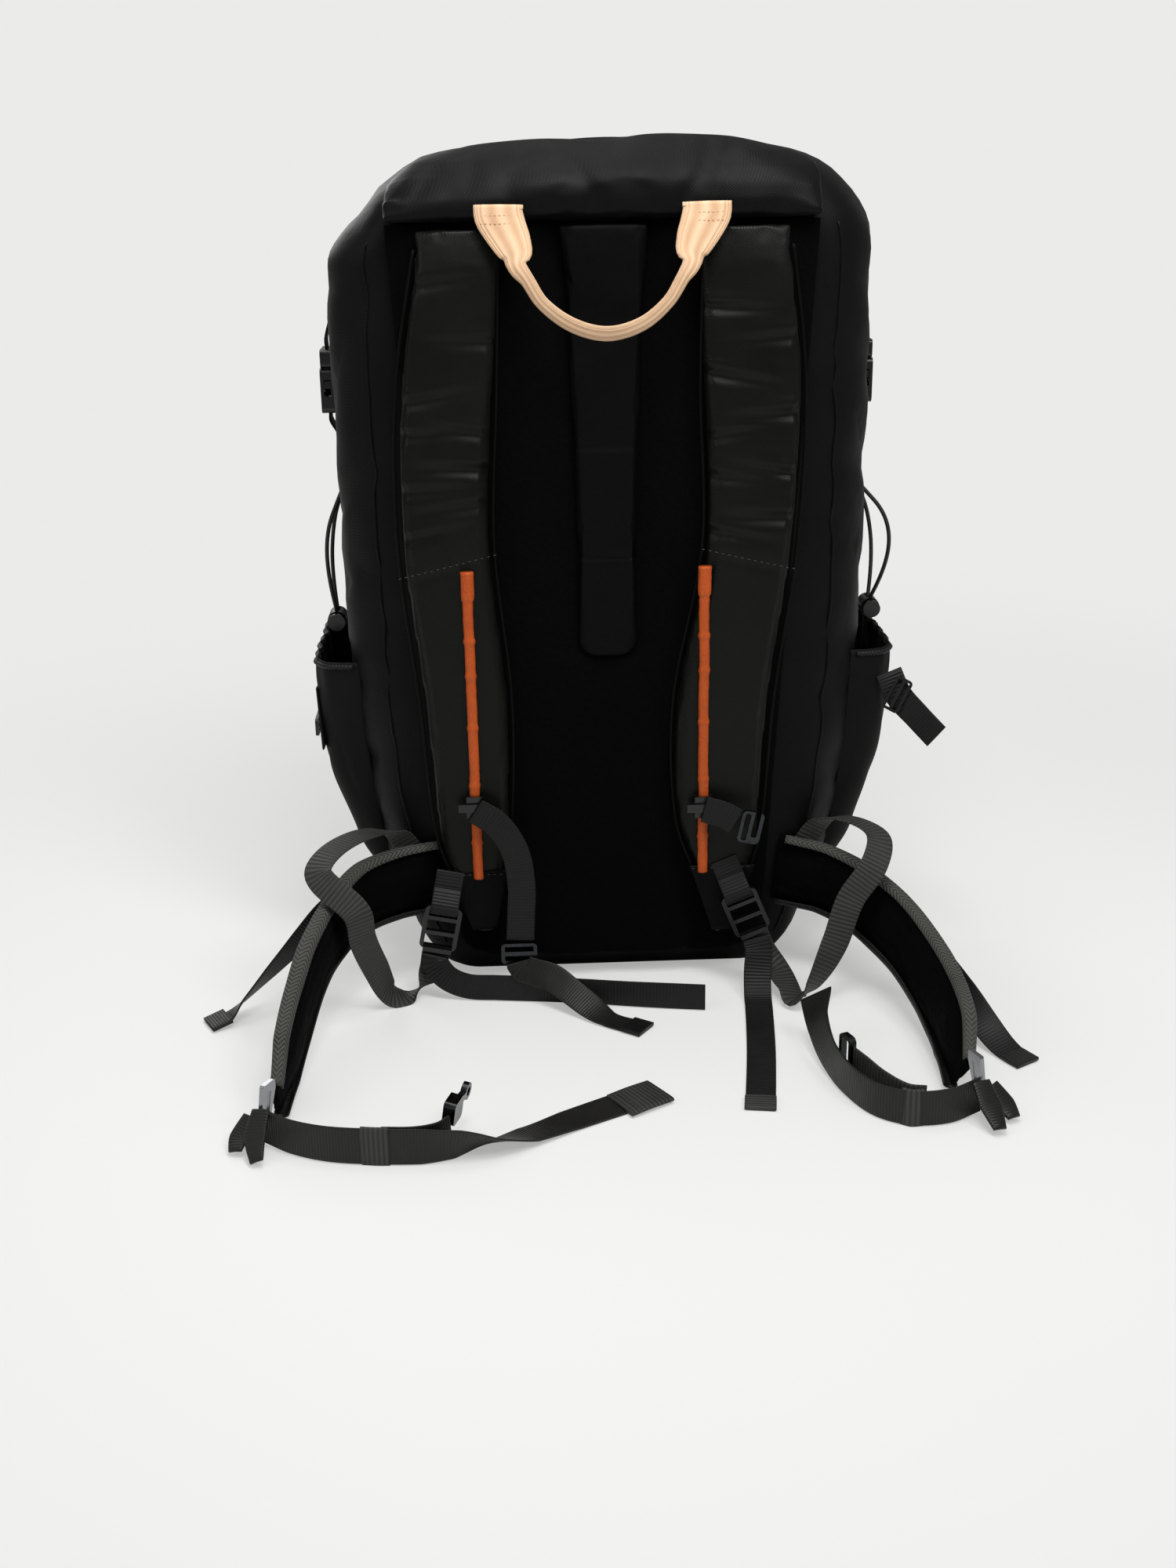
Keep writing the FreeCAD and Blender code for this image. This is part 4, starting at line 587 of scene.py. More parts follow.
@dataclass
class Bag:
    """The sewn shell, from base to crown."""

    height: float = 590
    base_half: float = 120
    belly_half: float = 188
    belly_height: float = 300
    back: float = 88
    front: float = 105
    base_back: float = 76
    base_front: float = 85
    radius: float = 46
    base_radius: float = 22
    crown_drop: float = 70
    crown_half: float = 75
    crown_back_in: float = 48
    crown_front_in: float = 50
    crown_radius_in: float = 12
    wall: float = 3
    roll_seam: float = 543
    door_gap: float = 1.0
    door_low: float = 80
    door_high: float = 512
    door_radius: float = 52
    door_half: float = 132
    door_foot_half: float = 112
    door_widens: float = 180

    def section(self, up: float) -> tuple[float, float, float, float]:
        """Give half width, back reach, front reach and corner radius at a height."""
        if up <= self.belly_height:
            share = max(up, 0) / self.belly_height
            swell, lift = math.sin(math.pi / 2 * share ** 0.6), min(1.0, share / 0.25) ** 0.5
            return (self.base_half + (self.belly_half - self.base_half) * swell,
                    self.base_back + (self.back - self.base_back) * lift,
                    self.base_front + (self.front - self.base_front) * lift,
                    self.base_radius + (self.radius - self.base_radius) * swell)
        rise = clamp((up - self.height + self.crown_drop) / self.crown_drop)
        flat = 1 - math.sqrt(max(0.0, 1 - rise * rise))
        return (self.belly_half - (self.belly_half - self.crown_half) * flat,
                self.back - self.crown_back_in * flat, self.front - self.crown_front_in * flat,
                self.radius - self.crown_radius_in * flat)

    def point(self, up: float, share: float, shrink: float = 1.0) -> Vector:
        """Give a place on the shell at a height and a share round it, from the middle of the back."""
        half, back, front, radius = self.section(up)
        arc, flank = math.pi / 2 * radius, back + front - 2 * radius
        runs = [half - radius, arc, flank, arc, 2 * (half - radius), arc, flank, arc, half - radius]
        left = share * sum(runs)
        corners = [(half - radius, radius - back, -90), (half - radius, front - radius, 0),
                   (radius - half, front - radius, 90), (radius - half, radius - back, 180)]
        starts = [(0, -back), (half, radius - back), (half - radius, front), (-half, front - radius),
                  (radius - half, -back)]
        ways = [(1, 0), (0, 1), (-1, 0), (0, -1), (1, 0)]
        for number, run in enumerate(runs):
            if left <= run or number == len(runs) - 1:
                if number % 2:
                    x, y, start = corners[number // 2]
                    turn = math.radians(start) + left / radius
                    found = Vector((x + radius * math.cos(turn), y + radius * math.sin(turn), 0))
                else:
                    found = Vector((*starts[number // 2], 0)) + Vector((*ways[number // 2], 0)) * left
                break
            left -= run
        middle = (front - back) / 2
        return Vector((found.x * shrink, (found.y - middle) * shrink + middle, up))

    def side(self, up: float, deep: float) -> float:
        """Give the half width of the shell at a height and a depth."""
        half, back, front, radius = self.section(up)
        over = max(radius - back - deep, deep - (front - radius), 0)
        return half - radius + math.sqrt(max(radius ** 2 - over ** 2, 0))

    def crumple(self, spot: Vector) -> Vector:
        """Press folds into the shell, only inwards, deeper on the sides than under the back panel."""
        out = Vector((spot.x, spot.y, 0)).normalized()
        side = clamp((abs(spot.x) - 120) / 40)
        fold = 1 - abs(noise.noise(Vector((spot.x * 0.004, spot.y * 0.012,
                                           spot.z * 0.016 + spot.y * 0.011))) * 2)
        small = 1 - abs(noise.noise(Vector((spot.x * 0.01 + 7, spot.y * 0.035, spot.z * 0.03))) * 2)
        depth = side * (3.4 * max(0, fold) ** 3 + 1.2 * max(0, small) ** 3)
        if spot.z > 515:
            depth *= max(0.3, 1 - (spot.z - 515) / 60)
        return spot - out * depth

    def slump(self, spot: Vector) -> Vector:
        """Let the crown sink to the left and stand up to the right, as a soft bag does."""
        sink = mix(CROWN_SINK, spot.x)
        share = clamp((spot.z - 505) / 75)
        spot.z += sink * share
        if spot.x < -140:
            spot.x += 5 * share * min(1.0, (-140 - spot.x) / 30)
        return spot

    def door_edge(self, up: float, margin: float) -> float:
        """Give the half width of the door's opening at a height, or -1 outside it."""
        low, high, radius = self.door_low - margin, self.door_high + margin, self.door_radius + margin
        if up < low or up > high:
            return -1.0
        if up > high - radius:
            rise = up - high + radius
            return self.door_half + margin - radius + math.sqrt(max(radius ** 2 - rise ** 2, 0))
        wider = self.door_half - self.door_foot_half
        return margin + (self.door_foot_half + wider * clamp((up - self.door_low) / self.door_widens))

    def cut_door(self, shell: bpy.types.Object) -> None:
        """Cut the door's opening out of the shell and bring its rim onto the opening's line."""
        mesh = bmesh.new()
        mesh.from_mesh(shell.data)
        gone = []
        for face in mesh.faces:
            spot = face.calc_center_median() / MM
            if spot.y > 60 and abs(spot.x) < self.door_edge(spot.z, self.door_gap):
                gone.append(face)
        bmesh.ops.delete(mesh, geom=gone, context="FACES")
        low, high = self.door_low - self.door_gap, self.door_high + self.door_gap
        for edge in [edge for edge in mesh.edges if edge.is_boundary]:
            for vert in edge.verts:
                spot = vert.co / MM
                if spot.z < low + 7:
                    vert.co.z = low * MM
                elif spot.z > high - 14 and abs(spot.x) < 84:
                    vert.co.z = high * MM
                else:
                    edge_x = self.door_edge(min(max(spot.z, low), high), self.door_gap)
                    vert.co.x = math.copysign(edge_x, spot.x) * MM
        mesh.to_mesh(shell.data)
        mesh.free()
        shell.data.shade_smooth()

    def seams(self) -> None:
        """Lay the four rolled seams on the shell's corners."""
        for name, side in SIDES.items():
            for part in ("back", "front"):
                line = []
                for number in range(40):
                    up = 24 + number * (self.roll_seam - 30) / 39
                    half, back, front, radius = self.section(up)
                    rise = math.sqrt(radius ** 2 - (radius * 0.38) ** 2)
                    y = (radius - back) - rise if part == "back" else (front - radius) + rise
                    line.append(self.slump(self.crumple(Vector((side * (half - radius * 0.62), y, up)))))
                dress(bead(f"shell_seam_{part}_{name}", line, 1.1), SHELL, "pack", "shell_fabric")

    def build(self) -> None:
        """Make the shell with its lining, open at the door, and the rolled seams on it."""
        heights = [-1.0] * 3 + [0.0] + [self.belly_height * (number / 26) ** 1.35 for number in range(1, 27)]
        heights += [self.belly_height + number * 10 for number in range(1, 22)]
        heights += [self.height - self.crown_drop + self.crown_drop * math.sin(math.radians(turn))
                    for turn in range(0, 91, 6)]
        top = len(heights)
        heights += [self.height + 1.2, self.height + 2.0, self.height + 2.4]

        def place(along: float, share: float) -> Vector:
            number = nearest(along, len(heights) - 1)
            if number < 3:
                return self.point(0, share, (0.02, 0.4, 0.75)[number])
            if number >= top:
                spot = self.point(self.height, share, (0.75, 0.4, 0.02)[number - top])
                return self.slump(Vector((spot.x, spot.y, heights[number])))
            return self.slump(self.crumple(self.point(heights[number], share)))

        shell = skin("bag_shell", len(heights) - 1, 176, place, (700, 1100), closed=True, capped=True)
        self.cut_door(shell)
        thicken(shell, self.wall, lined=True)
        dress(shell, SHELL, "pack", "shell_fabric", "base_panel", "back_panel", "crown_panel",
              "side_gusset_left", "side_gusset_right")
        shell.data.materials.append(LINING.material())
        self.seams()


@dataclass
class BackPanel:
    """The mesh back pad with the tongue that covers the stays' sleeve, and the padded roll above them."""

    face: float = -99.4
    rear: float = -88.4
    bottom: float = 20
    top: float = 543
    bottom_half: float = 111
    top_half: float = 143
    foot_radius: float = 18
    tongue_bottom: float = 250
    tongue_bottom_half: float = 21
    tongue_top_half: float = 30
    tongue_radius: float = 9
    tongue_middle: float = -97
    tongue_reach: float = 5.2
    tongue_seams: tuple = (322, 398, 476)

    def half(self, up: float) -> float:
        """Give the pad's half width at a height."""
        share = (up - self.bottom) / (self.top - self.bottom)
        low = max(0.0, self.foot_radius - (up - self.bottom))
        inward = self.foot_radius - math.sqrt(max(self.foot_radius ** 2 - low ** 2, 0))
        return self.bottom_half + (self.top_half - self.bottom_half) * share - inward

    def tongue_half(self, up: float) -> float:
        """Give the tongue's half width at a height."""
        wider = self.tongue_top_half - self.tongue_bottom_half
        return self.tongue_bottom_half + wider * (up - self.tongue_bottom) / (self.top - self.tongue_bottom)

    def pad(self, along: float, share: float) -> Vector:
        """Shape the mesh pad: rounded edges, two soft lengthwise channels and a bed for the tongue."""
        up = self.bottom + (self.top - self.bottom) * along
        half = max(self.half(up), 1)
        turn = 2 * math.pi * share
        across = half * squared(math.cos(turn), 0.55)
        middle = (self.face + self.rear) / 2
        depth = (self.rear - self.face) / 2
        near = 1 - abs(across / half) ** 8
        y = middle + math.copysign(depth * near ** 0.5, -math.sin(turn))
        if math.sin(turn) > 0:
            channel = bell(abs(across) - half * 0.62, 6)
            y += 2.6 * channel
            bed = self.tongue_half(up) + 2
            if up > self.tongue_bottom - 4 and abs(across) < bed + 6:
                y += 6.5 * min(1.0, (bed + 6 - abs(across)) / 6) * min(1.0, (up - self.tongue_bottom + 4) / 6)
            elif up <= self.tongue_bottom:
                y += 1.6 * bell(across, 5)
        return Vector((across, y, up))

    def build(self) -> None:
        """Make the pad, the tongue and the roll."""
        pad = skin("back_mesh", 110, 96, self.pad, (523, 540))
        dress(pad, MESH, "pack", "back_mesh", "back_pad")

        def tongue(along: float, share: float) -> Vector:
            up = self.tongue_bottom + (self.top - self.tongue_bottom) * along
            turn = 2 * math.pi * share
            low = max(0.0, self.tongue_radius - (up - self.tongue_bottom))
            inward = self.tongue_radius - math.sqrt(max(self.tongue_radius ** 2 - low ** 2, 0.5))
            half = self.tongue_half(up) - inward
            across = half * squared(math.cos(turn), 0.5)
            deep = squared(math.sin(turn), 0.7)
            return Vector((across, self.tongue_middle - self.tongue_reach * deep, up))

        def keep(spot: Vector) -> Vector:
            return Vector((spot.x, max(min(spot.y, -91.5), -102.6), min(spot.z, self.top)))

        def sew(spot: Vector) -> Vector:
            if spot.y < self.tongue_middle:
                for up in self.tongue_seams:
                    spot.y += 1.8 * bell(spot.z - up, 1.8)
                spot.y += 0.5 * noise.noise(Vector((spot.x * 0.03, 0, spot.z * 0.05)))
            return spot

        piece = skin("tongue_cover", 60, 40, tongue, (293, 120))
        inflate(piece, 2.6, 3, keep, sew)
        dress(piece, TONGUE, "pack", "tongue_fabric", "spine_tongue")
        self.roll()

    def roll(self) -> None:
        """Make the padded roll at the top from the frame's solid: evened, filled and dimpled."""
        piece = from_frame("top_roll", "roll_cover")

        def keep(spot: Vector) -> Vector:
            return Vector((max(-148.0, min(148.0, spot.x)), max(spot.y, -120.0), max(spot.z, 542.5)))

        def fold(spot: Vector) -> Vector:
            notch = bell(spot.x - 2, 16)
            front = clamp((-70 - spot.y) / 30)
            spot.z -= 3.5 * notch * (1 - front)
            ripple = 1 - abs(noise.noise(Vector((spot.x * 0.028, spot.y * 0.01, spot.z * 0.02)))) * 2
            spot.y += 2.6 * front * max(0.0, ripple) ** 3
            if spot.z < 548:
                spot.y += (548 - spot.z) * 0.6 * front
            if spot.z > 560:
                spot.z -= 3.5 * clamp((spot.y + 78) / 26)
            return Bag().slump(spot) if spot.z > 560 else spot

        inflate(piece, 4.2, 7, keep, fold)
        dress(piece, SHELL, "pack", "shell_fabric", "top_roll")
        lip = [(-34, -66, 588), (-18, -52, 591), (0, -48, 592), (16, -50, 591.6), (30, -64, 588.5)]
        dress(webbing("zip_garage_lip", lip, [(0, 0.9, 0.4)] * 5, 10, 1.4), SHELL, "pack", "shell_fabric")


@dataclass
class Sleeve:
    """The padded sleeve inside the back, open at its top."""

    half: float = 128
    back: float = -77.3
    depth: float = 26
    low: float = 78
    high: float = 350
    wall: float = 2

    def build(self) -> None:
        """Make the sleeve from a box with its top off."""
        mesh = bmesh.new()
        spot = Vector((0, self.back + self.depth / 2, (self.low + self.high) / 2)) * MM
        size = Matrix.Diagonal((2 * self.half * MM, self.depth * MM, (self.high - self.low) * MM, 1))
        bmesh.ops.create_cube(mesh, size=1.0, matrix=Matrix.Translation(spot) @ size)
        lid = [face for face in mesh.faces if face.normal.z > 0.9]
        bmesh.ops.delete(mesh, geom=lid, context="FACES")
        corners = [edge for edge in mesh.edges if not edge.is_boundary]
        bmesh.ops.bevel(mesh, geom=corners, offset=3 * MM, affect="EDGES", segments=3, profile=0.5,
                        material=-1)
        piece = as_object("laptop_sleeve_cloth", mesh)
        thicken(piece, self.wall)
        dress(piece, LINING, "pack", "lining_fabric", "laptop_sleeve")
        face = self.back + self.depth
        hem = [(-self.half, face, self.high), (0, face + 0.6, self.high), (self.half, face, self.high)]
        dress(webbing("sleeve_hem", hem, [(0, 0, 1)] * 3, 12, 1.2), WEBBING, "pack", "lining_fabric")


# ---------------------------------------------------------------- door

@dataclass
class Door:
    """The panel that folds down, with its pouch, tapes and teeth."""

    face: float = 105
    thick: float = 6
    low: float = 80
    high: float = 512
    tape: float = 7
    pouch_thick: float = 18

    def outline(self, margin: float) -> list[tuple[float, float]]:
        """Give the zip's line, up one side, over the top and down the other."""
        bag = Bag()
        radius, half, top = bag.door_radius + margin, bag.door_half + margin, self.high + margin
        line = [(-bag.door_foot_half - margin, self.low + 9), (-122 - margin, 170), (-half, 260),
                (-half, 360), (-half, top - radius)]
        for turn in (22.5, 45, 67.5, 90):
            across, rise = radius * math.cos(math.radians(turn)), radius * math.sin(math.radians(turn))
            line.append((radius - half - across, top - radius + rise))
        return line + [(0, top)] + [(-x, up) for x, up in reversed(line)]

    def strip(self, name: str, margin: float, width: float, deep: float, thick: float, finish: Finish,
              body: str, *nodes: str) -> bpy.types.Object:
        """Lay one band of the zip along its line."""
        line = self.outline(margin)
        points = [(x, deep, up) for x, up in line]
        across = []
        for number in range(len(line)):
            low, high = line[max(number - 1, 0)], line[min(number + 1, len(line) - 1)]
            run = Vector((high[0] - low[0], 0, high[1] - low[1])).normalized()
            across.append(tuple(run.cross(Vector((0, 1, 0)))))
        return dress(webbing(name, points, across, width, thick), finish, body, "zip_tape", *nodes)

    def panel(self, along: float, share: float) -> Vector:
        """Shape the padded panel with rounded edges and two quilted lines."""
        up = self.low + (self.high - self.low) * along
        bag = Bag()
        half = max(bag.door_edge(up, 0), 1)
        turn = 2 * math.pi * share
        across = half * squared(math.cos(turn), 0.5)
        near = (1 - abs(across / half) ** 12) * (1 - abs(2 * along - 1) ** 30)
        y = self.face - self.thick / 2 + math.copysign(self.thick / 2 * max(near, 0) ** 0.5, math.sin(turn))
        if math.sin(turn) > 0:
            for seam in (360, 486):
                y -= 1.3 * bell(up - seam, 1.6)
            y -= 0.9 * max(0.0, noise.noise(Vector((across * 0.02, 3, up * 0.012))))
        return Vector((across, y, up))

    def build(self) -> None:
        """Make the panel, the pouch and both halves of the zip."""
        piece = skin("door_panel", 120, 96, self.panel, (432, 540))
        dress(piece, SHELL, "door", "shell_fabric", "front_door")
        self.strip("door_tape", -self.tape / 2, self.tape, self.face + 0.6, 1.2, TAPE, "door",
                   "door_zip_tape")
        self.strip("bag_tape", 1 + self.tape / 2, self.tape, self.face + 0.9, 1.2, TAPE, "pack",
                   "bag_zip_tape")
        self.strip("zip_coil_door", -0.4, 2.0, self.face + 1.5, 1.4, WEBBING, "door")
        self.strip("zip_coil_bag", 1.6, 1.8, self.face + 1.8, 1.2, WEBBING, "pack")
        pouch = from_frame("front_pouch", "pouch_cover")
        face = self.face + self.pouch_thick

        def keep(spot: Vector) -> Vector:
            return Vector((spot.x, max(self.face + 0.1, min(face + 2.5, spot.y)), spot.z))

        def sew(spot: Vector) -> Vector:
            if spot.y > self.face + 9 and 303.5 < spot.z < 316.5 and abs(spot.x) < 80:
                spot.y = min(spot.y, face - 1.4)
            elif spot.y > self.face + 9:
                spot.y -= 1.6 * max(0.0, noise.noise(Vector((spot.x * 0.02, 9, spot.z * 0.02))))
            return spot

        inflate(pouch, 3.6, 4, keep, sew)
        dress(pouch, SHELL, "door", "shell_fabric", "front_pouch")
        deep = face - 1.0
        for name, up in (("upper", 312.6), ("lower", 307.4)):
            dress(webbing(f"pouch_tape_{name}", [(-76, deep, up), (0, deep, up), (76, deep, up)],
                          [(0, 0, 1)] * 3, 4.6, 0.9), TAPE, "door", "zip_tape")
        dress(webbing("pouch_coil", [(-76, deep + 0.5, 310), (0, deep + 0.5, 310), (76, deep + 0.5, 310)],
                      [(0, 0, 1)] * 3, 2.4, 1.0), WEBBING, "door", "zip_tape")
        line = [(-112, self.face - 1, 80.6), (-60, self.face + 0.2, 79.8), (0, self.face + 0.4, 79.6),
                (60, self.face + 0.2, 79.8), (112, self.face - 1, 80.6)]
        hem = dress(webbing("door_hinge_binding", line, [(0, 0.2, 1)] * 5, 9, 1.2), WEBBING, "", "zip_tape")
        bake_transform(hem)


# ---------------------------------------------------------------- side pockets

@dataclass
class SidePocket:
    """A stretch pocket sewn to a gusset, with a gathered elastic mouth."""

    name: str
    low: float = 52
    high: float = 240
    reach: float = 24
    back: float = 66
    front: float = 74
    foot_in: float = 6
    radius: float = 22

    def place(self, along: float, share: float) -> Vector:
        """Give a place on the pocket's cloth: along from its foot to its mouth, round from back to front."""
        side = SIDES[self.name]
        up = self.low + (self.high - self.low) * along
        bag = Bag()
        half = bag.section(up)[0]
        out = half + self.reach * mix(((0, 0.3), (0.25, 0.8), (0.6, 1.15), (1, 1.05)), along)
        foot = self.foot_in * (1 - along)
        back, front, radius = self.back - foot, self.front - foot, self.radius
        start = bag.side(up, -back) - 2
        end = bag.side(up, front) - 2
        runs = [out - radius - start, math.pi / 2 * radius, back + front - 2 * radius, math.pi / 2 * radius,
                out - radius - end]
        left = share * sum(runs)
        number = 0
        while number < 4 and left > runs[number]:
            left -= runs[number]
            number += 1
        if number == 0:
            spot = Vector((start + left, -back, up))
        elif number == 1:
            turn = -math.pi / 2 + left / radius
            spot = Vector((out - radius + radius * math.cos(turn), radius - back + radius * math.sin(turn),
                           up))
        elif number == 2:
            spot = Vector((out, radius - back + left, up))
        elif number == 3:
            turn = left / radius
            spot = Vector((out - radius + radius * math.cos(turn), front - radius + radius * math.sin(turn),
                           up))
        else:
            spot = Vector((out - radius - left, front, up))
        away = Vector((spot.x - half + 10, spot.y * 0.7, 0)).normalized()
        held = math.sin(math.pi * share) ** 0.6 if 0 < share < 1 else 0.0
        gather = 1.3 * math.sin(share * 58) * mix(((0, 0), (0.82, 0.15), (0.93, 1.0), (1, 0.6)), along)
        folds = 1 - abs(noise.noise(Vector((share * 4.2, along * 2.2 + share * 3, 3.0 + side))) * 2)
        spot += away * held * (gather - 2.6 * max(0, folds) ** 3)
        return Vector((side * spot.x, spot.y, spot.z))

    def build(self) -> None:
        """Make the pocket and its elastic binding."""
        cloth = skin(f"pocket_cloth_{self.name}", 56, 120, self.place, (188, 190), closed=False, capped=False)
        mesh = bmesh.new()
        mesh.from_mesh(cloth.data)
        if sum(face.normal.x * SIDES[self.name] for face in mesh.faces) < 0:
            bmesh.ops.reverse_faces(mesh, faces=mesh.faces)
        mesh.to_mesh(cloth.data)
        mesh.free()
        cloth.data.shade_smooth()
        thicken(cloth, 1.4)
        dress(cloth, STRETCH, "pack", "pocket_fabric", f"side_pocket_{self.name}")
        rim = [self.place(0.985, number / 40) for number in range(1, 40)]
        dress(bead(f"pocket_elastic_{self.name}", rim, 1.9, 10), WEBBING, "pack", "pocket_fabric")


# ---------------------------------------------------------------- shoulder harness

@dataclass
class ShoulderStrap:
    """A curved foam strap with a satin face, an orange piping rail and the tab that holds its ladder lock."""

    name: str
    outer: tuple
    inner: tuple
    rail: float
    seam: tuple
    lock: Point
    lean: float
    back: float = -99.7
    thick: float = 14
    rail_low: float = 90
    rail_high: float = 317
    sleeve_low: float = 296
    knots: tuple = (118, 162, 205, 243, 268)

    def edges(self, up: float) -> tuple[float, float]:
        """Give the strap's two edges at a height."""
        return tuple(mix([(height, x) for x, height in side], up) for side in (self.low_side, self.high_side))

    def prepare(self) -> None:
        """Trace both edges smoothly."""
        traced = [[(spot.x, spot.z) for spot in spread([(x, 0, up) for x, up in side], 90)]
                  for side in (self.outer, self.inner)]
        self.low_side, self.high_side = sorted(traced, key=lambda side: side[0][0])

    def form(self, along: float, share: float) -> Vector:
        """Shape the foam before it is filled."""
        top, foot = self.outer[0][1], self.outer[-1][1]
        up = foot + (top - foot) * along
        left, right = self.edges(up)
        turn = 2 * math.pi * share
        flat = squared(math.cos(turn), 0.5)
        deep = squared(math.sin(turn), 0.75)
        thin = mix(((0, 0.5), (0.1, 0.9), (0.93, 1), (1, 0.62)), along) * (self.thick - 2.2) / 2
        middle = self.back - self.thick / 2 + (self.thick / 2 - 1.1 - thin) * 0.6
        return Vector(((left + right) / 2 + (right - left - 2) / 2 * flat, middle - thin * deep, up))

    def build(self) -> None:
        """Make the padded strap with its seam, piping, rail and tab."""
        self.prepare()
        body, side = f"strap_{self.name}", SIDES[self.name]
        top, foot = self.outer[0][1], self.outer[-1][1]
        piece = skin(f"strap_pad_{self.name}", 130, 36, self.form, (500, 170))
        folds = puckers(3 + side, 332, 446, 7) + puckers(11 + side, 455, 520, 2)
        front = self.back - self.thick

        def keep(spot: Vector) -> Vector:
            return Vector((spot.x, max(front - 0.4, min(self.back, spot.y)),
                           max(foot - 1, min(top + 2, spot.z))))

        def crease(spot: Vector) -> Vector:
            left, right = self.edges(spot.z)
            across = (spot.x - (left + right) / 2) / max((right - left) / 2, 1)
            facing = clamp((self.back - 3 - spot.y) / 6)
            for number, (up, slant, wide, deep) in enumerate(folds):
                way = 1 if number % 2 else -1
                reach = clamp(0.5 + 0.7 * across * way) * clamp((1 - abs(across)) / 0.16)
                off = spot.z - up - slant * (spot.x - (left + right) / 2)
                spot.y += facing * reach * deep * (bell(off, wide) - 0.45 * bell(off - 2 * wide, wide))
            (x0, z0), (x1, z1) = self.seam
            line = z0 + (z1 - z0) * (spot.x - x0) / (x1 - x0)
            spot.y += facing * 1.5 * bell(spot.z - line, 2.2)
            if spot.z < line - 2:
                spot.y += facing * 0.9
            return spot

        inflate(piece, 3.4, 5, keep, crease)
        dress(piece, STRAP, body, "strap_fabric", f"shoulder_strap_{self.name}")
        for edge, line in (("outer", self.outer), ("inner", self.inner)):
            inward = 2.8 if (edge == "inner") == (side > 0) else -2.8
            points = [(x + inward, front + 5.0, up) for x, up in
                      [(spot.x, spot.z) for spot in spread([(x, 0, up) for x, up in line], 40)][1:-2]]
            dress(bead(f"strap_piping_{edge}_{self.name}", points, 1.2), TONGUE, body, "strap_fabric")
        (x0, z0), (x1, z1) = self.seam
        hem = [(x0 + (x1 - x0) * share, front - 0.1 - 0.9 * math.sin(math.pi * share) ** 0.5,
                z0 + (z1 - z0) * share + 3.2)
               for share in (0.03, 0.25, 0.5, 0.75, 0.97)]
        dress(stitches(f"strap_stitching_{self.name}", hem, 4.4, 0.32), THREAD, body, "strap_fabric")
        heights = (foot + 8, 58, 70, 84, 94)
        spots = [(sum(self.edges(up)) / 2, front - 0.1, up) for up in heights]
        widths = [max(6.0, (self.edges(up)[1] - self.edges(up)[0]) * 0.96) for up in heights]
        dress(webbing(f"strap_foot_{self.name}", spots, [(1, 0, 0)] * 5, widths, 1.4), TONGUE, body,
              "strap_fabric")
        brim = [(sum(self.edges(94)) / 2 + widths[-1] * share, front - 1.0, 92.4)
                for share in (-0.46, 0, 0.46)]
        dress(stitches(f"strap_foot_stitching_{self.name}", brim, 4.4, 0.3), THREAD, body, "strap_fabric")
        self.rail_piece(body, front)
        self.tab(body, front)

    def rail_piece(self, body: str, front: float) -> None:
        """Make the leather piping that the sternum slider runs on, with its sleeve and its knots."""

        def place(along: float, share: float) -> Vector:
            up = self.rail_low + (self.rail_high - self.rail_low) * along
            turn = 2 * math.pi * share
            thick = 3.6 + 0.25 * noise.noise(Vector((0, 0, up * 0.2)))
            if up > self.sleeve_low:
                thick += 1.0 * min(1.0, (up - self.sleeve_low) / 1.5)
            for knot in self.knots:
                thick += 0.7 * bell(up - knot, 1.6)
            wander = 0.6 * noise.noise(Vector((self.rail, 0, up * 0.03)))
            return Vector((self.rail + wander + thick * math.cos(turn),
                           front - 1.9 - thick * 0.78 * math.sin(turn), up))

        rail = skin(f"rail_leather_{self.name}", 150, 16, place, (227, 24))
        dress(rail, LEATHER, body, "rail_leather", f"strap_rail_{self.name}")

    def tab(self, body: str, front: float) -> None:
        """Make the web tab round the ladder lock's top bar."""
        lean = math.radians(self.lean)
        along = Vector((math.sin(lean), 0, math.cos(lean)))
        bar, clear, layer = 15.5, 3.5, 1.8
        depth = front - self.lock[1]
        route = [(bar + 26, depth), (bar + 2, clear), (bar - 2.4, clear), (bar - 4, clear - 1.2),
                 (bar - 4, 1.2 - clear), (bar - 2.4, -clear), (bar + 2.6, -clear),
                 (bar + 14, (depth + clear) / 2 - layer)]
        points = [tuple(Vector(self.lock) + along * up + Vector((0, deep, 0))) for up, deep in route]
        dress(webbing(f"lock_tab_{self.name}", points,
                      [(math.cos(lean), 0, -math.sin(lean))] * len(points), 20),
              WEBBING, body, "dark_webbing")


# ---------------------------------------------------------------- webbing on the harness

@dataclass
class Band:
    """One length of webbing: its route, its facing and what it rides on."""

    name: str
    points: Sequence[Point]
    across: Sequence[Point]
    width: Any
    finish: Finish
    body: Any
    slot: str
    nodes: tuple = ()
    thick: float = 1.6
    flutter: float = 0.0
    cup: float = 0.0
    span: tuple = ()

    def build(self) -> bpy.types.Object:
        """Weave the band and fix it to its body, or, where it spans two bodies, fix it to neither and bake
        its place into its mesh.
        """
        made = webbing(self.name, self.points, self.across, self.width, self.thick, self.flutter, self.cup)
        dress(made, self.finish, "" if self.span else self.body, self.slot, *self.nodes)
        if self.span:
            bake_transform(made)
        return made


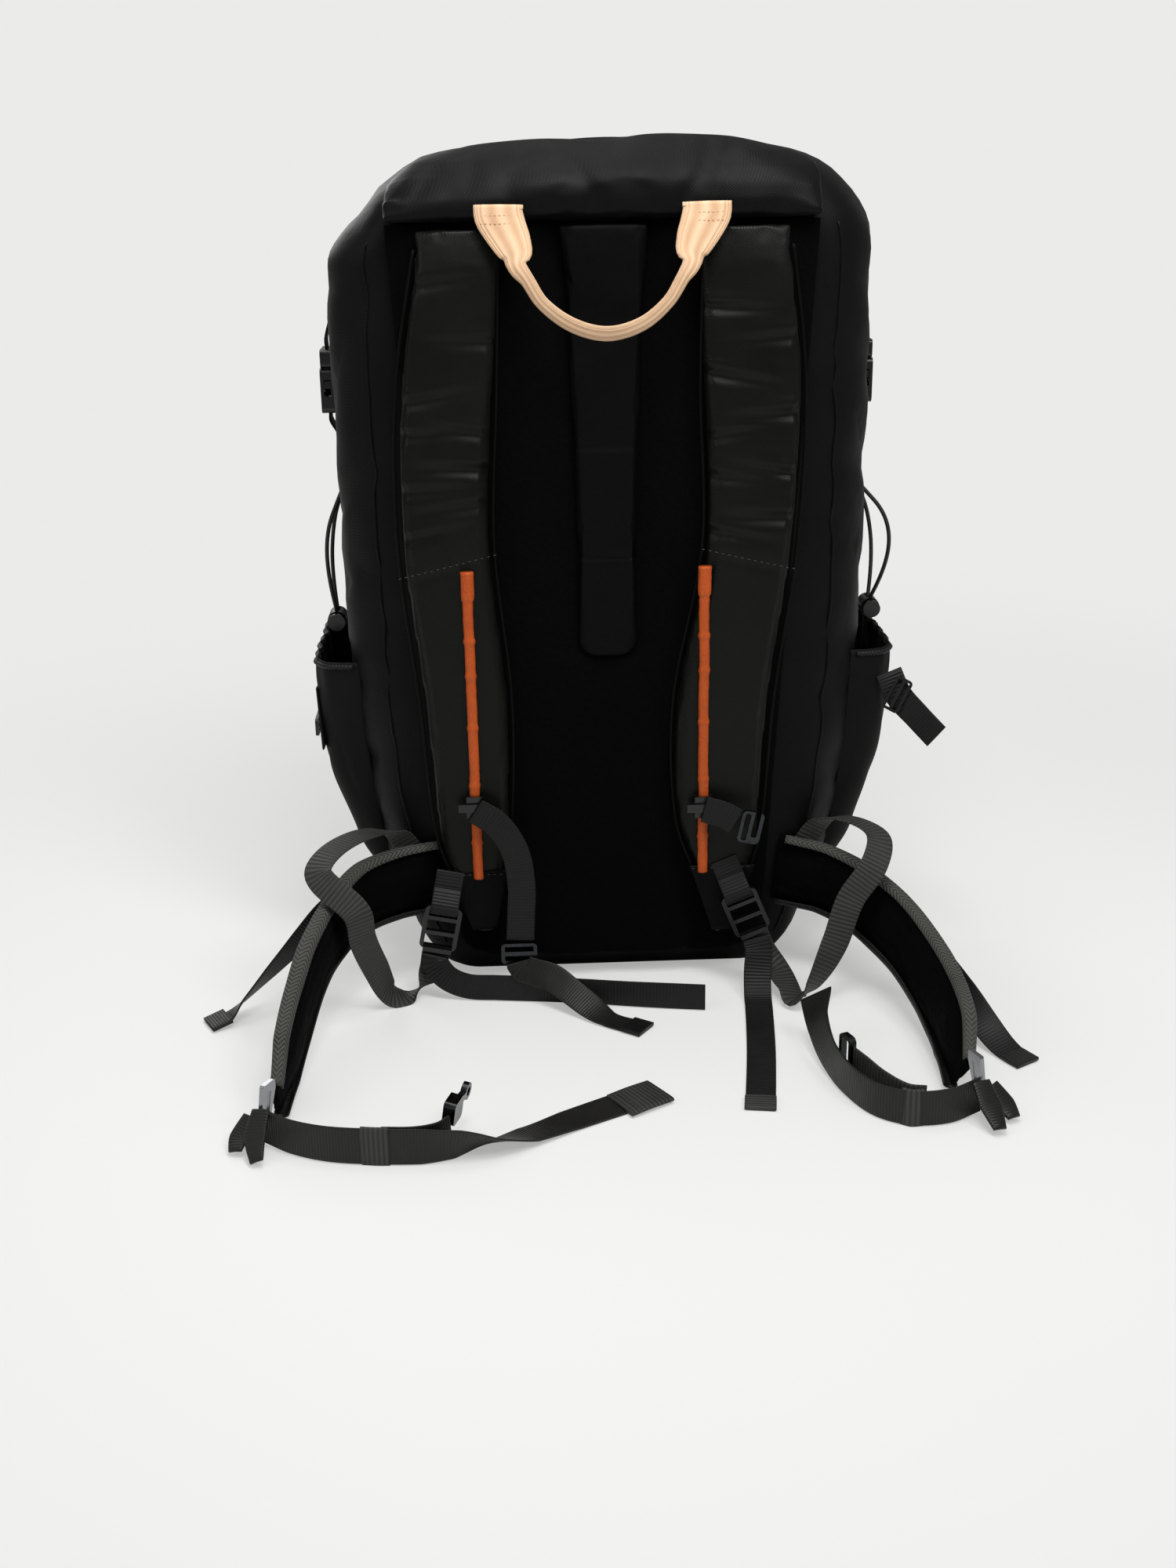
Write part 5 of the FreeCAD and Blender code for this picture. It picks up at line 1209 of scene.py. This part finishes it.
ADJUSTERS = {
    "left": ([(-143, -86.7, 97), (-158, -89.5, 117), (-178, -110, 125), (-200, -138, 123), (-207, -158, 114),
              (-180.5, -176.5, 93), (-178, -168, 68), (-172, -150, 38), (-163, -135, 9), (-151, -126, 2.6),
              (-141, -122, 8.5), (-133.6, -120.9, 19), (-130.4, -120.8, 34)],
             [(0.97, -0.25, 0), (0.97, -0.25, 0), (0.8, -0.6, 0), (0.9, -0.4, 0), (0.9, -0.4, 0),
              (0.88, 0.3, 0.35), (0.9, 0.3, 0.3), (0.8, 0.5, 0.2), (0.4, 0.9, 0), (0.2, 1, 0),
              (0.5, 0.85, 0), (0.98, 0.1, -0.21), (0.98, 0, -0.21)]),
    "right": ([(143, -86.7, 97), (158, -89.5, 117), (176, -108, 124), (192, -126, 118), (186, -143.5, 103),
               (169, -148, 78), (158, -152, 46), (142, -159, 17), (131, -158, 6), (127, -144, 8),
               (121, -126, 15), (111, -120.4, 26.5), (104.8, -120.8, 40.6)],
              [(0.97, 0.25, 0), (0.97, 0.25, 0), (0.9, 0.3, -0.1), (0.9, 0, -0.3), (0.87, -0.15, -0.45),
               (0.87, -0.15, -0.45), (0.85, 0, -0.4), (0.7, 0.6, -0.2), (0.3, 0.95, 0), (0.4, 0.9, 0),
               (0.8, 0.6, 0.2), (0.93, 0.1, 0.37), (0.93, 0, 0.37)]),
}

TAILS = {
    "left": ([(-130.2, -125.8, 34.2), (-131, -126.2, 29), (-122, -129, 17.5), (-107, -131.5, 11.4),
              (-86, -134, 10.8), (-56, -138, 10.6), (-22, -144, 10.6), (12, -151, 10.6), (40, -156, 10.6),
              (64, -160, 10.6)],
             [(0.98, 0, -0.21), (0.95, 0, 0.1), (0.6, 0, 0.8), (0.15, 0, 1)] + [(0, 0, 1)] * 6),
    "right": ([(104.8, -126, 40.4), (106.5, -129, 32), (105, -135, 17), (104, -146, 4), (103, -160, 1.4),
               (100, -190, 1.1), (96, -225, 1.1), (91, -262, 1.1), (85, -303, 1.1)],
              [(0.93, 0, 0.37), (1, 0, 0.1), (1, -0.1, 0), (1, -0.1, 0), (1, -0.1, 0), (1, -0.1, 0),
               (1, -0.1, 0), (1, -0.15, 0), (1, -0.15, 0)]),
}

STERNUM = {
    "left": ([(-97, -124.9, 146), (-82, -126.8, 136), (-70, -129, 116), (-66, -130, 90), (-67, -130, 64),
              (-68, -130, 46.3)],
             [(0, 0, 1), (0.5, 0, 0.8), (0.9, 0, 0.3), (1, 0, 0), (1, 0, 0), (1, 0, 0)]),
    "right": ([(66, -124.3, 142), (80, -126.6, 138), (88.6, -128.4, 133)],
              [(0, 0, 1), (0.2, 0, 1), (0.3, 0, 1)]),
}

STERNUM_TAIL = ([(-69, -134.4, 31.5), (-67.5, -135.6, 27.5), (-58, -138.7, 24.5), (-46, -142.5, 22),
                 (-34, -150.5, 15.5), (-20, -161.5, 8), (-7, -171.5, 1.8), (7, -181.5, 1.3), (19, -190, 1.3)],
                [(1, 0, 0), (0.9, 0.1, 0.45), (0.5, 0.2, 0.85), (0.6, 0.4, 0.7), (0.7, 0.45, 0.55),
                 (0.7, 0.55, 0.45), (0.64, 0.77, 0), (0.64, 0.77, 0), (0.64, 0.77, 0)])

HANDLE = ([(-68, -112, 555), (-67.8, -113.4, 549), (-64.5, -115.5, 541), (-60, -118.5, 532),
           (-57, -121.5, 524.5), (-57, -124.5, 518), (-51, -128, 510), (-41, -131.5, 495),
           (-22, -134.5, 481.5), (0, -135.5, 476), (22, -134.5, 481.5), (39.5, -131.5, 495),
           (49.5, -128, 510), (55, -124.5, 518), (55, -121.5, 524.5), (58, -118.5, 532), (62.5, -115.5, 541),
           (65.8, -113.4, 549), (66, -112, 555)],
          [(1, 0, 0), (1, 0, 0), (1, 0, 0.1), (1, 0, 0.25), (1, -0.1, 0.3), (0.9, -0.3, 0.4),
           (0.75, -0.45, 0.5), (0.6, -0.5, 0.6), (0.3, -0.5, 0.8), (0, -0.55, 0.83), (-0.3, -0.5, 0.8),
           (-0.6, -0.5, 0.6), (-0.75, -0.45, 0.5), (-0.9, -0.3, 0.4), (-1, -0.1, 0.3), (-1, 0, 0.25),
           (-1, 0, 0.1), (-1, 0, 0), (-1, 0, 0)])
HANDLE_WIDTHS = [32, 32, 29, 25.5, 21, 13, 10, 9.5, 10.5, 11.5, 10.5, 9.5, 10, 13, 21, 25.5, 29, 32, 32]


@dataclass
class Harness:
    """The webbing of the shoulder and sternum straps and the haul handle."""

    web: float = 20

    def build(self) -> None:
        """Make every band of the harness."""
        for name in SIDES:
            points, across = ADJUSTERS[name]
            Band(f"adjuster_loop_{name}", points, across, self.web, GREY,
                 ("pack", f"strap_{name}"), "dark_webbing", (f"adjuster_web_{name}",), flutter=0.4,
                 span=(points[2], points[-2])).build()
            points, across = TAILS[name]
            Band(f"adjuster_tail_{name}", points, across, self.web, WEBBING,
                 (f"strap_{name}", "pack"), "dark_webbing", (f"adjuster_web_{name}",), flutter=0.3,
                 span=(points[0], points[4 if name == "left" else 7])).build()
            points, across = STERNUM[name]
            Band(f"sternum_band_{name}", points, across, self.web, WEBBING, f"sternum_strap_{name}",
                 "dark_webbing", (f"sternum_web_{name}",), flutter=0.3).build()
        Band("sternum_tail_band", *STERNUM_TAIL, self.web, OLIVE, "sternum_strap_left", "dark_webbing",
             ("sternum_web_left",), flutter=0.4).build()
        end_fold("sternum_tail_fold", STERNUM_TAIL, self.web, WEBBING, "sternum_strap_left")
        end_fold("adjuster_fold_right", TAILS["right"], self.web, GREY, "pack")
        Band("handle_webbing", *HANDLE, HANDLE_WIDTHS, PEACH, ("pack", "haul_handle"), "handle_webbing",
             ("haul_handle",), thick=2.2, cup=1.4, span=((0, -112, 554), (0, -120, 530))).build()
        for name, side in SIDES.items():
            across = -68 if side < 0 else 66
            rows = [[(across - 12, -116.4 + deep, up), (across, -117.6 + deep, up),
                     (across + 12, -116.4 + deep, up)]
                    for up, deep in ((544, 0.0), (549, 1.4))]
            for number, row in enumerate(rows):
                piece = stitches(f"handle_stitching_{name}_{number}", row, 3.0, 0.35)
                dress(piece, PEACH, "pack", "handle_webbing")


# ---------------------------------------------------------------- compression straps, pocket straps and cords

CORDS = {
    "left": [(-198, -3, 262), (-202, -14, 290), (-201, -17, 326), (-190.2, -7, 351), (-190.2, 10, 351),
             (-199, 20, 326), (-202, 14, 290), (-198, 3, 262)],
    "right": [(203, -3, 262), (214, -14, 290), (213, -18, 327), (190.2, -8, 352), (190.2, 10, 352),
              (204, 21, 327), (208, 14, 290), (203, 3, 262)],
}


@dataclass
class ShockCord:
    """An elastic cord that hangs from its tab and comes back together in its lock."""

    name: str
    length: float
    diameter: float = 3

    def build(self) -> None:
        """Make the cord on a smooth spline and say what it is."""
        data = bpy.data.curves.new(f"elastic_cord_{self.name}", "CURVE")
        data.dimensions = "3D"
        data.bevel_depth = self.diameter / 2 * MM
        data.bevel_resolution = 4
        data.resolution_u = 10
        data.use_fill_caps = True
        line = data.splines.new("NURBS")
        points = CORDS[self.name]
        line.points.add(len(points) - 1)
        for place, spot in zip(line.points, points):
            place.co = (*(part * MM for part in spot), 1.0)
        line.order_u = 3
        line.use_endpoint_u = True
        cord = linked(data.name, data)
        dress(cord, ELASTIC, "pack", "cord_elastic", f"shock_cord_{self.name}")


@dataclass
class SideWork:
    """The compression webbing and the pocket straps on both sides."""

    reach: float = 195.5
    edge: float = 189.3

    def build(self) -> None:
        """Make every band on the bag's sides."""
        for name, side in SIDES.items():
            reach, edge = side * self.reach, side * self.edge
            routes = (("high", [(edge - 6 * side, 20, 516), (edge, 20, 500), (edge + side, 20, 480),
                                (reach, 20, 461), (reach, 20, 453.4)]),
                      ("low", [(reach, 20, 407.6), (reach, 20, 402), (edge + side, 20, 392),
                               (edge, 20, 382)]),
                      ("cord_tab", [(edge, 3, 378), (edge, 3, 362), (edge + 0.2 * side, 3, 353.5)]))
            for end, route in routes:
                Band(f"side_web_{end}_{name}", route, [(0, 1, 0)] * len(route), 20, WEBBING, "pack",
                     "dark_webbing", ("side_webbing",)).build()
        Band("pocket_strap_left", [(-211.9, -40, 216), (-211.4, -41, 206), (-210.6, -42, 188),
                                   (-209.7, -43, 170)],
             [(0, 1, 0)] * 4, 20, WEBBING, "pack", "dark_webbing", ("pocket_straps",)).build()
        Band("pocket_strap_right", [(207.6, -62.6, 222), (214.2, -68.2, 206), (227, -78, 192),
                                    (239, -90, 180)],
             [(0.35, 0.35, 0.87), (0.45, 0.1, 0.87), (0.5, -0.1, 0.85), (0.5, -0.1, 0.85)], 20, WEBBING,
             "pack", "dark_webbing", ("pocket_straps",)).build()


# ---------------------------------------------------------------- hip belt

WINGS = {
    "left": ([(-121, -92.6, 84), (-135, -96.6, 84), (-158, -105, 83), (-182, -123, 80), (-200, -158, 72),
              (-211, -195, 62), (-218, -230, 46), (-223, -265, 30), (-225, -298, 17)],
             [54, 54, 54, 50, 48, 50, 52, 52, 32], [8, 10, 12, 12, 12, 12, 11, 10, 8], 0.0),
    "right": ([(121, -92.6, 82), (135, -96.6, 80), (158, -104, 76), (184, -122, 66), (206, -155, 52),
               (218, -195, 40), (222, -230, 32), (221, -262, 28), (217, -292, 17)],
              [54, 54, 52, 50, 48, 48, 48, 46, 32], [8, 10, 12, 12, 12, 12, 11, 10, 8], 0.4),
}

BELT_WEBS = {
    "left": ([(-232.7, -322.1, 14), (-214, -336, 13.4), (-190, -346, 13.2), (-160, -351, 13.2),
              (-132, -353, 13.2), (-110, -351, 12.5), (-90, -342, 8), (-66, -326, 2.4), (-38, -308, 1.2),
              (-8, -291, 1.2), (14, -279, 1.2)],
             [(0, 0, 1)] * 5 + [(0, -0.3, 1), (0.1, -0.8, 0.6), (0.3, -1, 0.15), (0.5, -0.85, 0),
                                (0.5, -0.85, 0), (0.5, -0.85, 0)]),
    "right": ([(224.9, -315, 14), (203, -327, 13.4), (178, -328, 13.2), (158, -316, 13.2), (145, -292, 13.4),
               (137, -262, 16), (134, -232, 24), (136, -206, 34)],
              [(0, 0, 1)] * 5 + [(0.1, 0, 1), (0.4, 0, 1), (0.8, 0, 0.6)]),
}

BELT_LOOPS = {
    "left": ([(-156, -349.4, 13.5), (-136, -350.8, 13.8), (-122, -347.5, 14.2), (-114, -340, 15)],
             [(0, 0, 1)] * 4),
    "right": ([(187, -325.9, 15.5), (176, -323.4, 16), (164, -308, 17), (156, -291, 18), (150, -277, 18)],
              [(0, 0, 1)] * 5),
}

STABILIZERS = {
    "left": ([(-179.4, -111.2, 83), (-188.6, -115.2, 82), (-207, -121, 70), (-226, -128, 52),
              (-248, -138, 32), (-268, -148, 14), (-279, -154, 4.6), (-292, -161, 1.4)],
             [(0, 0, 1), (0, 0, 1), (0, 0, 1), (0, -0.2, 1), (0.1, -0.5, 0.8), (0.2, -0.8, 0.5),
              (0.4, -0.9, 0.1), (0.5, -0.85, 0)]),
    "right": ([(204.4, -140, 53.9), (213.4, -148.9, 49.2), (227, -167, 42), (240, -193, 29), (251, -217, 15),
               (260, -234, 5.4), (267, -246, 1.8), (273, -256, 1.3)],
              [(0.37, 0, 0.93), (0.37, 0, 0.93), (0.4, 0, 0.9), (0.5, 0.1, 0.9), (0.7, 0.3, 0.5),
               (0.85, 0.45, 0.2), (0.87, 0.48, 0), (0.87, 0.48, 0)]),
}

TONGUES = {
    "left": (([(-233, -322, 25), (-236, -334, 14), (-234, -349, 4)], [13, 16, 9]),
             ([(-240, -318, 18), (-247, -327, 9), (-249, -336, 4)], [13, 15, 9])),
    "right": (([(224, -318, 25), (228, -330, 14), (231, -344, 5)], [13, 16, 9]),
              ([(232, -312, 18), (240, -320, 9), (244, -329, 4)], [13, 15, 9])),
}


def end_fold(name: str, route: tuple, width: float, finish: Finish, body: Any, reach: float = 0.9) -> None:
    """Fold a webbing's cut end over on itself and sew it down."""
    points, across = route
    last, before = Vector(points[-1]), Vector(points[-2])
    run, rise = (last - before).normalized(), Vector((0, 0, 0.9))
    spots = [tuple(last - run * (15 - 7.6 * number) + rise) for number in range(3)]
    Band(name, spots, [across[-1]] * 3, width + reach, finish, body, "dark_webbing", thick=3.2).build()


@dataclass
class HipWing:
    """A padded belt wing with its bound edges, its belt webbing and the free end of its stabilizer web."""

    name: str

    def frames(self, rows: int) -> list[tuple[Vector, Vector, Vector, float, float]]:
        """Give the middle, the outward way, the upward way, the height and the thickness along the wing."""
        points, heights, thicks, lean = WINGS[self.name]
        side = SIDES[self.name]
        across = [Vector((side * lean * min(1, max(0, number - 1) / 2), 0, 1)).normalized()
                  for number in range(len(points))]
        line = spread(points, rows + 1)
        found = []
        for number, spot in enumerate(line):
            mark = number / rows * (len(points) - 1)
            part = min(int(mark), len(points) - 2)
            share = mark - part
            run = heading(line, number)
            up = across[part].lerp(across[part + 1], share)
            up = (up - run * run.dot(up)).normalized()
            high = heights[part] + (heights[part + 1] - heights[part]) * share
            thick = thicks[part] + (thicks[part + 1] - thicks[part]) * share
            found.append((spot, run.cross(up), up, high, thick))
        return found

    def build(self) -> None:
        """Make the wing, its bindings and its webbing."""
        rows = 90
        frames = self.frames(rows)
        side, body = SIDES[self.name], f"hip_wing_{self.name}"

        def place(along: float, share: float) -> Vector:
            spot, out, up, high, thick = frames[nearest(along, rows)]
            turn = 2 * math.pi * share
            rise = squared(math.cos(turn), 0.6)
            deep = squared(math.sin(turn), 0.8)
            return spot + up * rise * (high / 2 - 1) + out * deep * (thick / 2 - 1)

        piece = skin(f"wing_pad_{self.name}", rows, 32, place, (260, 120))

        def crease(spot: Vector) -> Vector:
            near = min(frames, key=lambda item: (item[0] - spot).length_squared)
            off = (spot - near[0]).dot(near[2]) / (near[3] / 2)
            dip = 1.6 * bell(abs(off) - 0.45, 0.07) if abs(off) < 0.8 else 0.0
            ripple = 0.8 * noise.noise(spot * 0.05)
            way = 1 if (spot - near[0]).dot(near[1]) > 0 else -1
            return spot - near[1] * way * max(0.0, dip + ripple)

        inflate(piece, 3.2, 3, lambda spot: Vector((spot.x, spot.y, max(spot.z, 0.6))), crease)
        dress(piece, MESH, body, "back_mesh", f"hip_wing_{self.name}")
        for edge, way in (("top", 1), ("bottom", -1)):
            def bind(along: float, share: float) -> Vector:
                spot, out, up, high, thick = frames[2 + nearest(along, rows - 2)]
                turn = math.pi * (share * 1.1 - 0.05)
                reach = thick / 2 + 0.3
                rim = spot + up * way * (high / 2 - reach * 0.8)
                return rim + out * reach * math.cos(turn) + up * way * reach * math.sin(turn) * 0.85

            tape = skin(f"wing_binding_{edge}_{self.name}", rows - 2, 20, bind, (260, 22), closed=False,
                        capped=False)
            thicken(tape, 0.8)
            dress(tape, BINDING if way > 0 else WEBBING, body, "back_mesh")
        Band(f"belt_run_{self.name}", *BELT_WEBS[self.name], 25, OLIVE, body, "dark_webbing",
             (f"belt_web_{self.name}",), flutter=0.3).build()
        Band(f"belt_loop_{self.name}", *BELT_LOOPS[self.name], 25, GREY if side > 0 else OLIVE, body,
             "dark_webbing", (f"belt_web_{self.name}",)).build()
        Band(f"stabilizer_end_{self.name}", *STABILIZERS[self.name], 20, WEBBING, body, "dark_webbing",
             ("stabilizer_tails",), flutter=0.4).build()
        end_fold(f"stabilizer_fold_{self.name}", STABILIZERS[self.name], 20, OLIVE, body)
        for number, (points, widths) in enumerate(TONGUES[self.name]):
            Band(f"plate_tongue_{number}_{self.name}", points, [(0.85, 0.5 * side, 0.1)] * len(points),
                 widths, OLIVE, body, "dark_webbing", thick=2.2, cup=0.8).build()
        line = BELT_WEBS[self.name]
        keep = slice(2, 5) if side < 0 else slice(1, 4)
        middle = Vector(line[0][keep][1])
        before, after = Vector(line[0][keep][0]), Vector(line[0][keep][2])
        points = [tuple(middle.lerp(before, 0.3)), tuple(middle), tuple(middle.lerp(after, 0.3))]
        Band(f"belt_keeper_{self.name}", points, [(0, 0, 1)] * 3, 26.4, GREY, body, "dark_webbing",
             thick=3.4).build()
        if side < 0:
            Band("belt_end_tab", [(-6, -294.5, 2.8), (8, -286, 3.4), (22, -277, 2.8)],
                 [(0.55, -0.83, 0)] * 3, 30, GREY, body, "dark_webbing", thick=3.0).build()
            hem = [(-6.5, -283, 5.2), (0.5, -294, 5.4), (8.5, -306, 5.2)]
            dress(stitches("belt_tab_stitching", hem, 3.2, 0.3), THREAD, body, "dark_webbing")


# ---------------------------------------------------------------- fittings that the frame already has

FITTINGS = {
    "frame_sheet": POLYETHYLENE, "frame_stays": ALUMINIUM,
    "door_slider_left": GUNMETAL, "door_slider_right": GUNMETAL, "door_puller_left": GUNMETAL,
    "door_puller_right": GUNMETAL, "pouch_slider": GUNMETAL,
    "ladder_lock_left": ACETAL, "ladder_lock_right": ACETAL, "sternum_slider_left": ACETAL,
    "sternum_slider_right": ACETAL, "sternum_buckle": GUNMETAL, "sternum_hook": GUNMETAL,
    "buckle_sockets": ACETAL, "buckle_plugs": ACETAL, "buckle_prong_back_left": ACETAL,
    "buckle_prong_front_left": ACETAL, "buckle_prong_back_right": ACETAL, "buckle_prong_front_right": ACETAL,
    "cordlock_barrels": ACETAL, "cordlock_plunger_left": ACETAL, "cordlock_plunger_right": ACETAL,
    "pocket_glides": ACETAL, "hip_plate_left": PLATE_PAINTED_SHADE, "hip_plate_right": PLATE_PAINTED_SHADE,
    "belt_hook": GUNMETAL, "belt_ring": GUNMETAL,
}


def dress_fittings() -> None:
    """Give each moulded, cast and cut fitting of the frame its finish."""
    for name, finish in FITTINGS.items():
        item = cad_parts[name]
        if not item.data.materials:
            item.data.materials.append(None)
        for number in range(len(item.data.materials)):
            item.data.materials[number] = finish.material()
        LOG.info("%s: %s", name, finish.name)


# ---------------------------------------------------------------- studio

@dataclass
class Studio:
    """The pale sweep, the lamps and the camera."""

    pale: str = "EBEBEA"
    azimuth: float = -2.2
    elevation: float = 20.2
    roll: float = -0.9
    distance: float = 1410
    target: Point = (-12, 0, 118)
    lens: float = 41.4
    lit: Point = (0, 0, 250)

    def sweep(self) -> None:
        """Make the wide floor, which fades into the backdrop's shade away from the bag."""

        def place(along: float, share: float) -> Vector:
            return Vector(((share - 0.5) * 60000, (along - 0.5) * 60000, -0.05))

        floor = skin("studio_floor", 4, 4, place, (60000, 60000), closed=False, capped=False)
        made = bpy.data.materials.new("paper_sweep_matt")
        made.use_nodes = True
        tree = made.node_tree
        tree.nodes.clear()
        matt = add(tree, "ShaderNodeBsdfDiffuse", {"Color": linear(self.pale)}).outputs[0]
        glow = add(tree, "ShaderNodeEmission", {"Color": linear(self.pale), "Strength": 1.0}).outputs[0]
        seen = add(tree, "ShaderNodeLightPath").outputs["Is Camera Ray"]
        place = add(tree, "ShaderNodeTexCoord").outputs["Object"]
        away = add(tree, "ShaderNodeVectorMath", {0: place}, operation="LENGTH").outputs["Value"]
        far = add(tree, "ShaderNodeMapRange", {"Value": away, "From Min": 0.3, "From Max": 1.3,
                                               "To Min": 0.45, "To Max": 1.0},
                  interpolation_type="SMOOTHSTEP").outputs[0]
        part = add(tree, "ShaderNodeMath", {0: seen, 1: far}, operation="MULTIPLY").outputs[0]
        both = add(tree, "ShaderNodeMixShader", {0: part, 1: matt, 2: glow}).outputs[0]
        add(tree, "ShaderNodeOutputMaterial", {"Surface": both})
        floor.data.materials.append(made)

    def lamp(self, name: str, place: Point, size: float, watts: float) -> None:
        """Hang one square soft lamp that faces the bag."""
        data = bpy.data.lights.new(name, "AREA")
        data.size, data.energy = size * MM, watts
        item = linked(name, data)
        item.location = Vector(place) * MM
        item.rotation_euler = (Vector(self.lit) - Vector(place)).to_track_quat("-Z", "Y").to_euler()

    def build(self) -> None:
        """Set up the sweep, the light and the camera."""
        self.sweep()
        world = bpy.data.worlds.new("studio_air")
        bpy.context.scene.world = world
        world.use_nodes = True
        tree = world.node_tree
        tree.nodes.clear()
        seen = add(tree, "ShaderNodeLightPath")
        soft = add(tree, "ShaderNodeBackground", {"Color": (1, 1, 1, 1), "Strength": 0.3}).outputs[0]
        shown = add(tree, "ShaderNodeBackground", {"Color": linear(self.pale), "Strength": 1.0}).outputs[0]
        mixed = add(tree, "ShaderNodeMixShader",
                    {0: seen.outputs["Is Camera Ray"], 1: soft, 2: shown}).outputs[0]
        add(tree, "ShaderNodeOutputWorld", {"Surface": mixed})
        self.lamp("key_lamp", (900, -1200, 1700), 600, 12)
        self.lamp("crown_lamp", (60, -560, 1280), 450, 8)
        self.lamp("fill_lamp", (-1500, -900, 1300), 900, 5)
        self.lamp("top_lamp", (-200, 300, 2000), 1000, 9)
        self.lamp("back_lamp", (-900, 1700, 1100), 900, 9)
        camera = linked("camera", bpy.data.cameras.new("camera"))
        camera.data.lens, camera.data.sensor_width = self.lens, 36
        azimuth, elevation = math.radians(self.azimuth), math.radians(self.elevation)
        back = Vector((math.sin(azimuth) * math.cos(elevation), -math.cos(azimuth) * math.cos(elevation),
                       math.sin(elevation)))
        camera.location = (Vector(self.target) + back * self.distance) * MM
        camera.rotation_mode = "QUATERNION"
        roll = Quaternion((0, 0, 1), math.radians(self.roll))
        camera.rotation_quaternion = (-back).to_track_quat("-Z", "Y") @ roll
        camera.data.clip_end = 100
        bpy.context.scene.camera = camera
        bpy.context.scene.view_settings.view_transform = "Standard"


STRAPS = (
    ShoulderStrap("left", ((-124, 541), (-142, 440), (-146, 335), (-136, 220), (-128, 118), (-114, 79),
                           (-100, 41)),
                  ((-66, 541), (-70, 440), (-75, 335), (-66, 220), (-70, 118), (-78, 79), (-86, 41)), -97,
                  ((-146, 309), (-72, 326)), (-125.5, -122.5, 55), 12),
    ShoulderStrap("right", ((124, 541), (136, 440), (133, 330), (119, 219), (110, 110), (97, 72), (84, 35)),
                  ((62, 541), (60, 440), (62, 330), (42, 219), (44, 130), (60, 82), (76, 35)), 66,
                  ((62, 326), (133, 309)), (97, -122.5, 60), -22),
)


def main() -> None:
    """Build the studio and every piece of the backpack."""
    logging.basicConfig(level=logging.INFO, format="%(message)s")
    Studio().build()
    for name, length in (("left", 202.0), ("right", 213.7)):
        ShockCord(name, length).build()
    Bag().build()
    BackPanel().build()
    Sleeve().build()
    Door().build()
    for name in SIDES:
        SidePocket(name).build()
    for strap in STRAPS:
        strap.build()
    Harness().build()
    SideWork().build()
    for name in SIDES:
        HipWing(name).build()
    dress_fittings()


if __name__ == "__main__":
    main()
